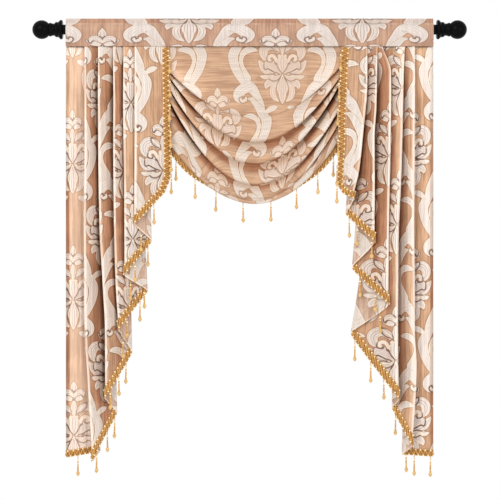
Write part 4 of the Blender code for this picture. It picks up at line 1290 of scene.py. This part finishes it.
class Shader:
    """A material's node tree, built one named step at a time."""

    def __init__(self, name):
        self.material = bpy.data.materials.new(name)
        self.material.use_nodes = True
        self.nodes = self.material.node_tree.nodes
        self.links = self.material.node_tree.links
        self.surface = self.nodes["Principled BSDF"]

    def feed(self, socket, value):
        if isinstance(value, bpy.types.NodeSocket):
            self.links.new(value, socket)
        elif socket.type == "RGBA" and hasattr(value, "__len__"):
            socket.default_value = (*value, 1.0)
        else:
            socket.default_value = value

    def node(self, kind, inputs, output=0, **settings):
        """Adds a node with its settings and inputs, and gives one of its outputs."""
        node = self.nodes.new("ShaderNode" + kind)
        for name, value in settings.items():
            setattr(node, name, value)
        for key, value in inputs.items():
            self.feed(node.inputs[key], value)
        return node.outputs[output]

    def math(self, operation, first, *others):
        """An operation on one value, or on each of several in turn."""
        for other in others or (0.0,):
            first = self.node("Math", {0: first, 1: other}, operation=operation)
        return first

    def plus(self, *values):
        return self.math("ADD", *values)

    def times(self, *values):
        return self.math("MULTIPLY", *values)

    def beside(self, value, middle):
        """How far a value lies from a middle, either way."""
        return self.math("ABSOLUTE", self.math("SUBTRACT", value, middle))

    def line(self, distance, shape, strength=1.0):
        """A line beside a motif's edge, from its middle, its ends to either side of that and its share."""
        middle, ends, share = shape
        return self.times(self.ramp(self.beside(distance, middle), *ends), share * strength)

    def ramp(self, value, *ends):
        """A smooth ramp from one value to another, which gives 0 to 1 or what the other two ends say."""
        inputs = dict(enumerate((value, *ends, 0.0, 1.0)[:5]))
        return self.node("MapRange", inputs, interpolation_type="SMOOTHSTEP")

    def mix(self, part, first, second, way="MIX"):
        return self.node("Mix", {0: part, 6: first, 7: second}, 2, data_type="RGBA", blend_type=way)

    def tinted(self, colour, tint):
        return self.mix(1.0, colour, tint, "MULTIPLY")

    def shade_tint(self, painted_shade_value, half, deep):
        """The tint of the painted shade on cloth in a fold: none outside it, then half way in, then deep
        inside.
        """
        outer = self.mix(self.ramp(painted_shade_value, 0.0, 0.5), (1.0, 1.0, 1.0), half)
        return self.mix(self.ramp(painted_shade_value, 0.5, 1.0), outer, deep)

    def attribute(self, name):
        return self.node("Attribute", {}, "Fac", attribute_name=name)

    def place(self):
        return self.node("TexCoord", {}, "Object")

    def noise(self, vector, scale, detail=3.0, roughness=0.6):
        inputs = {"Vector": vector, "Scale": scale, "Detail": detail, "Roughness": roughness}
        return self.node("TexNoise", inputs, "Fac")

    def streaks(self, vector, way, noise):
        """Noise stretched along the cloth."""
        return self.noise(self.node("VectorMath", {0: vector, 1: way}, operation="MULTIPLY"), *noise)

    def bump(self, height, distance, strength=1.0):
        inputs = {"Strength": strength, "Distance": distance, "Height": height}
        self.set("Normal", self.node("Bump", inputs))

    def set(self, name, value):
        self.feed(self.surface.inputs[name], value)


def motif_colours(shader, look, colour, tone, ridge, furrow):
    """Lays the motifs over the ground's colour. Gives the colour, and how far inside a motif it is."""
    outline, strength = look["outline"]
    petal, petal_share = look["petal"]
    dark, light, furrow_colour = look["motif"]
    satin = shader.mix(shader.plus(tone, shader.times(ridge, SATIN_RIDGES)), dark, light)
    satin = shader.mix(shader.times(furrow, SATIN_FURROW), satin, furrow_colour)
    petals = shader.mix(petal_share, satin, petal)
    petals = shader.mix(shader.times(furrow, PETAL_FURROW * strength), petals, outline)
    inside = None
    for key in MOTIF_KEYS:
        distance = shader.attribute(key)
        filled = shader.ramp(distance, *FILL_RAMP)
        edge = shader.line(distance, EDGE_LINE, strength)
        if inside is not None:
            edge = shader.times(edge, shader.math("SUBTRACT", 1.0, inside))
        colour = shader.mix(edge, colour, outline)
        colour = shader.mix(filled, colour, satin if key == "scroll" else petals)
        colour = shader.mix(shader.line(distance, RIM_LINE), colour, look["rim"])
        if inside is None:
            inside = filled
            continue
        line = shader.ramp(shader.math("ABSOLUTE", distance), *OVERLAP_LINE)
        # Painted shadow of the motif above on the layer below, joined with the line where they overlap.
        under = shader.times(shader.ramp(distance, *UNDER_RAMP), UNDER_SHARE)
        near = shader.math("MAXIMUM", line, shader.times(under, shader.ramp(distance, *UNDER_END)))
        colour = shader.mix(shader.times(near, inside, strength), colour, outline)
        inside = shader.math("MAXIMUM", inside, filled)
    return colour, inside


def damask(name, look):
    """The cloth's weave: slubbed ground and ribbed satin motifs with their outlines, under the folds'
    painted shade and painted highlights.
    """
    shader = Shader(name)
    flat = shader.node("UVMap", {}, uv_map="flat")
    slub = shader.streaks(flat, look["slubs"], SLUB_NOISE)
    tone = shader.ramp(slub, *SLUB_RAMP)
    cloudy = shader.ramp(shader.noise(flat, *CLOUD_NOISE), *CLOUD_RAMP)
    ridge = shader.ramp(shader.streaks(flat, look["ridges"], STREAK_NOISE), *RIDGE_RAMP)
    ground = shader.mix(shader.plus(tone, cloudy, ridge), *look["ground"])
    rib = shader.math("COSINE", shader.times(shader.attribute("vein"), math.pi))
    furrow = shader.ramp(rib, *FURROW_RAMP)
    colour, inside = motif_colours(shader, look, ground, tone, ridge, furrow)
    # Painted shade tints the folds; a painted wash, a painted lift and painted highlights brighten the
    # rest.
    painted_shade_value = shader.attribute("painted_shading")
    ground_half, ground_deep, motif_half, motif_deep = look["shade"]
    ground_tint = shader.shade_tint(painted_shade_value, ground_half, ground_deep)
    motif_tint = shader.shade_tint(painted_shade_value, motif_half, motif_deep)
    colour = shader.tinted(colour, shader.mix(inside, ground_tint, motif_tint))
    colour = shader.mix(shader.ramp(painted_shade_value, *PAINTED_WASH_RAMP), colour, PAINTED_LIGHT_WASH)
    painted_lift = shader.math("MAXIMUM", shader.times(painted_shade_value, -1.0), 0.0)
    colour = shader.tinted(colour, shader.plus(1.0, shader.math("MINIMUM", painted_lift, PAINTED_LIFT_LIMIT)))
    highlight_streaks = shader.ramp(shader.streaks(flat, CREST_WAY, STREAK_NOISE), *CATCH_RAMP)
    painted_crest = shader.times(shader.ramp(painted_shade_value, *CREST_RAMP), highlight_streaks, CREST_PALENESS)
    shader.set("Base Color", shader.mix(painted_crest, colour, PAINTED_CREST_HIGHLIGHT))
    shader.set("Roughness", shader.math("SUBTRACT", ROUGHNESS, shader.times(inside, SATIN_SMOOTHER)))
    open_part = shader.ramp(painted_shade_value, *DULL_RAMP)
    shader.set("Specular IOR Level", shader.times(open_part, SPECULAR))
    shader.set("Sheen Weight", shader.times(open_part, SHEEN))
    shader.set("Sheen Roughness", SHEEN_ROUGHNESS)
    motifs, slubs, furrows, threads = RELIEF
    relief = shader.plus(shader.times(inside, motifs), shader.times(slub, slubs))
    relief = shader.math("SUBTRACT", relief, shader.times(furrow, inside, furrows))
    relief = shader.plus(relief, shader.times(shader.noise(flat, *WEAVE_NOISE), threads))
    shader.bump(relief, RELIEF_DEPTH)
    return shader.material


def thread_material(name, dark, light, roughness, twist):
    """Twisted thread. The noise that raises its twist also darkens it where low: painted shade between its
    turns. A slow noise varies its tone.
    """
    shader = Shader(name)
    place = shader.place()
    fine = shader.noise(place, twist, 2.0, 0.6)
    slow = shader.noise(place, 60.0, 2.0, 0.5)
    tone = shader.ramp(shader.plus(fine, shader.times(slow, 0.5)), 0.45, 1.05)
    shader.set("Base Color", shader.mix(tone, dark, light))
    shader.set("Roughness", roughness)
    shader.set("Sheen Weight", 0.2)
    shader.bump(fine, 0.0006, 0.7)
    return shader.material


def lacquer(name):
    """Gloss black paint with faint orange peel."""
    shader = Shader(name)
    place = shader.place()
    peel = shader.noise(place, 160.0, 2.0, 0.5)
    smudge = shader.noise(place, 22.0, 3.0, 0.6)
    shader.set("Base Color", shader.mix(smudge, (0.001, 0.001, 0.001), (0.004, 0.004, 0.004)))
    shader.set("Roughness", shader.ramp(smudge, 0.2, 0.9, 0.24, 0.36))
    shader.set("IOR", 1.11)
    shader.set("Coat Weight", 0.015)
    shader.set("Coat Roughness", 0.12)
    shader.bump(peel, 0.0002, 0.25)
    return shader.material


def set_camera():
    """Looks straight at the drape from the room, far enough back to show it nearly without perspective."""
    data = bpy.data.cameras.new("camera")
    data.sensor_width = SENSOR
    data.lens = SENSOR * CAMERA_DISTANCE / CAMERA_SPAN
    data.clip_end = 60.0
    camera = add_object("camera", data)
    camera.location = (CAMERA_CENTRE[0], -CAMERA_DISTANCE, CAMERA_CENTRE[1])
    camera.rotation_euler = (math.pi / 2.0, 0.0, 0.0)
    bpy.context.scene.camera = camera


def add_light(name, place, target, size, power, colour):
    data = bpy.data.lights.new(name, "AREA")
    data.shape = "RECTANGLE"
    data.size, data.size_y = size
    data.energy = power
    data.color = colour
    light = add_object(name, data)
    light.location = place
    light.rotation_euler = (Vector(target) - Vector(place)).to_track_quat("-Z", "Y").to_euler()


def set_stage():
    shader = Shader("studio_floor")
    shader.set("Base Color", (0.93, 0.93, 0.93))
    shader.set("Roughness", shader.ramp(shader.noise(shader.place(), 3.0), 0.0, 1.0, 0.75, 0.85))
    mesh = fill_mesh("floor", np.array(FLOOR), np.array([[0, 1, 2, 3]]), smooth=False)
    mesh.materials.append(shader.material)
    floor = add_object("floor", mesh)
    world = bpy.data.worlds.new("studio")
    world.use_nodes = True
    background = world.node_tree.nodes["Background"]
    background.inputs["Color"].default_value = (1.0, 1.0, 1.0, 1.0)
    background.inputs["Strength"].default_value = WORLD_LIGHT
    bpy.context.scene.world = world
    for light in LIGHTS:
        add_light(*light)
    bpy.context.scene.view_settings.view_transform = "Standard"


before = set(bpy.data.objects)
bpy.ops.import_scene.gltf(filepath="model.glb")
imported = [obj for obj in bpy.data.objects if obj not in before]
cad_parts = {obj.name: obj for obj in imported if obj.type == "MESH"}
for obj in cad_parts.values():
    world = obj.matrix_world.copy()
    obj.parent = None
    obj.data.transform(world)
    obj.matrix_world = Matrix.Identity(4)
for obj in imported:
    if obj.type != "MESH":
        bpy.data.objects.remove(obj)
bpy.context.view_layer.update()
DAMASK_CELL = damask_cell()

tail_face = damask("tail_face", TAIL_LOOK)
heading_face = damask("heading_face", HEADING_LOOK)
swag_face = damask("swag_face", SWAG_LOOK)
lining = damask("cloth_reverse", REVERSE_LOOK)
trims = tuple(thread_material(*thread) for thread in THREADS)
black = lacquer("black_lacquer")

heading, heading_flat = heading_cloth(heading_face, lining)
swag, swag_flat, swag_area = swag_cloth(swag_face, lining)
fringe = swag_trim(trims)
for name, made in (("tail_left", LEFT_TAIL), ("tail_right", RIGHT_TAIL)):
    tail = Tail(made)
    cloth, flat, area = tail_cloth(name, tail, tail_face, lining)
    trim = tail_trim("braid_" + name, tail, trims)
for name, side in (("finial_left", -1.0), ("finial_right", 1.0)):
    turned_finial(name, side, black)
for slot in bpy.data.objects["rod"].material_slots:
    slot.material = black

set_camera()
set_stage()
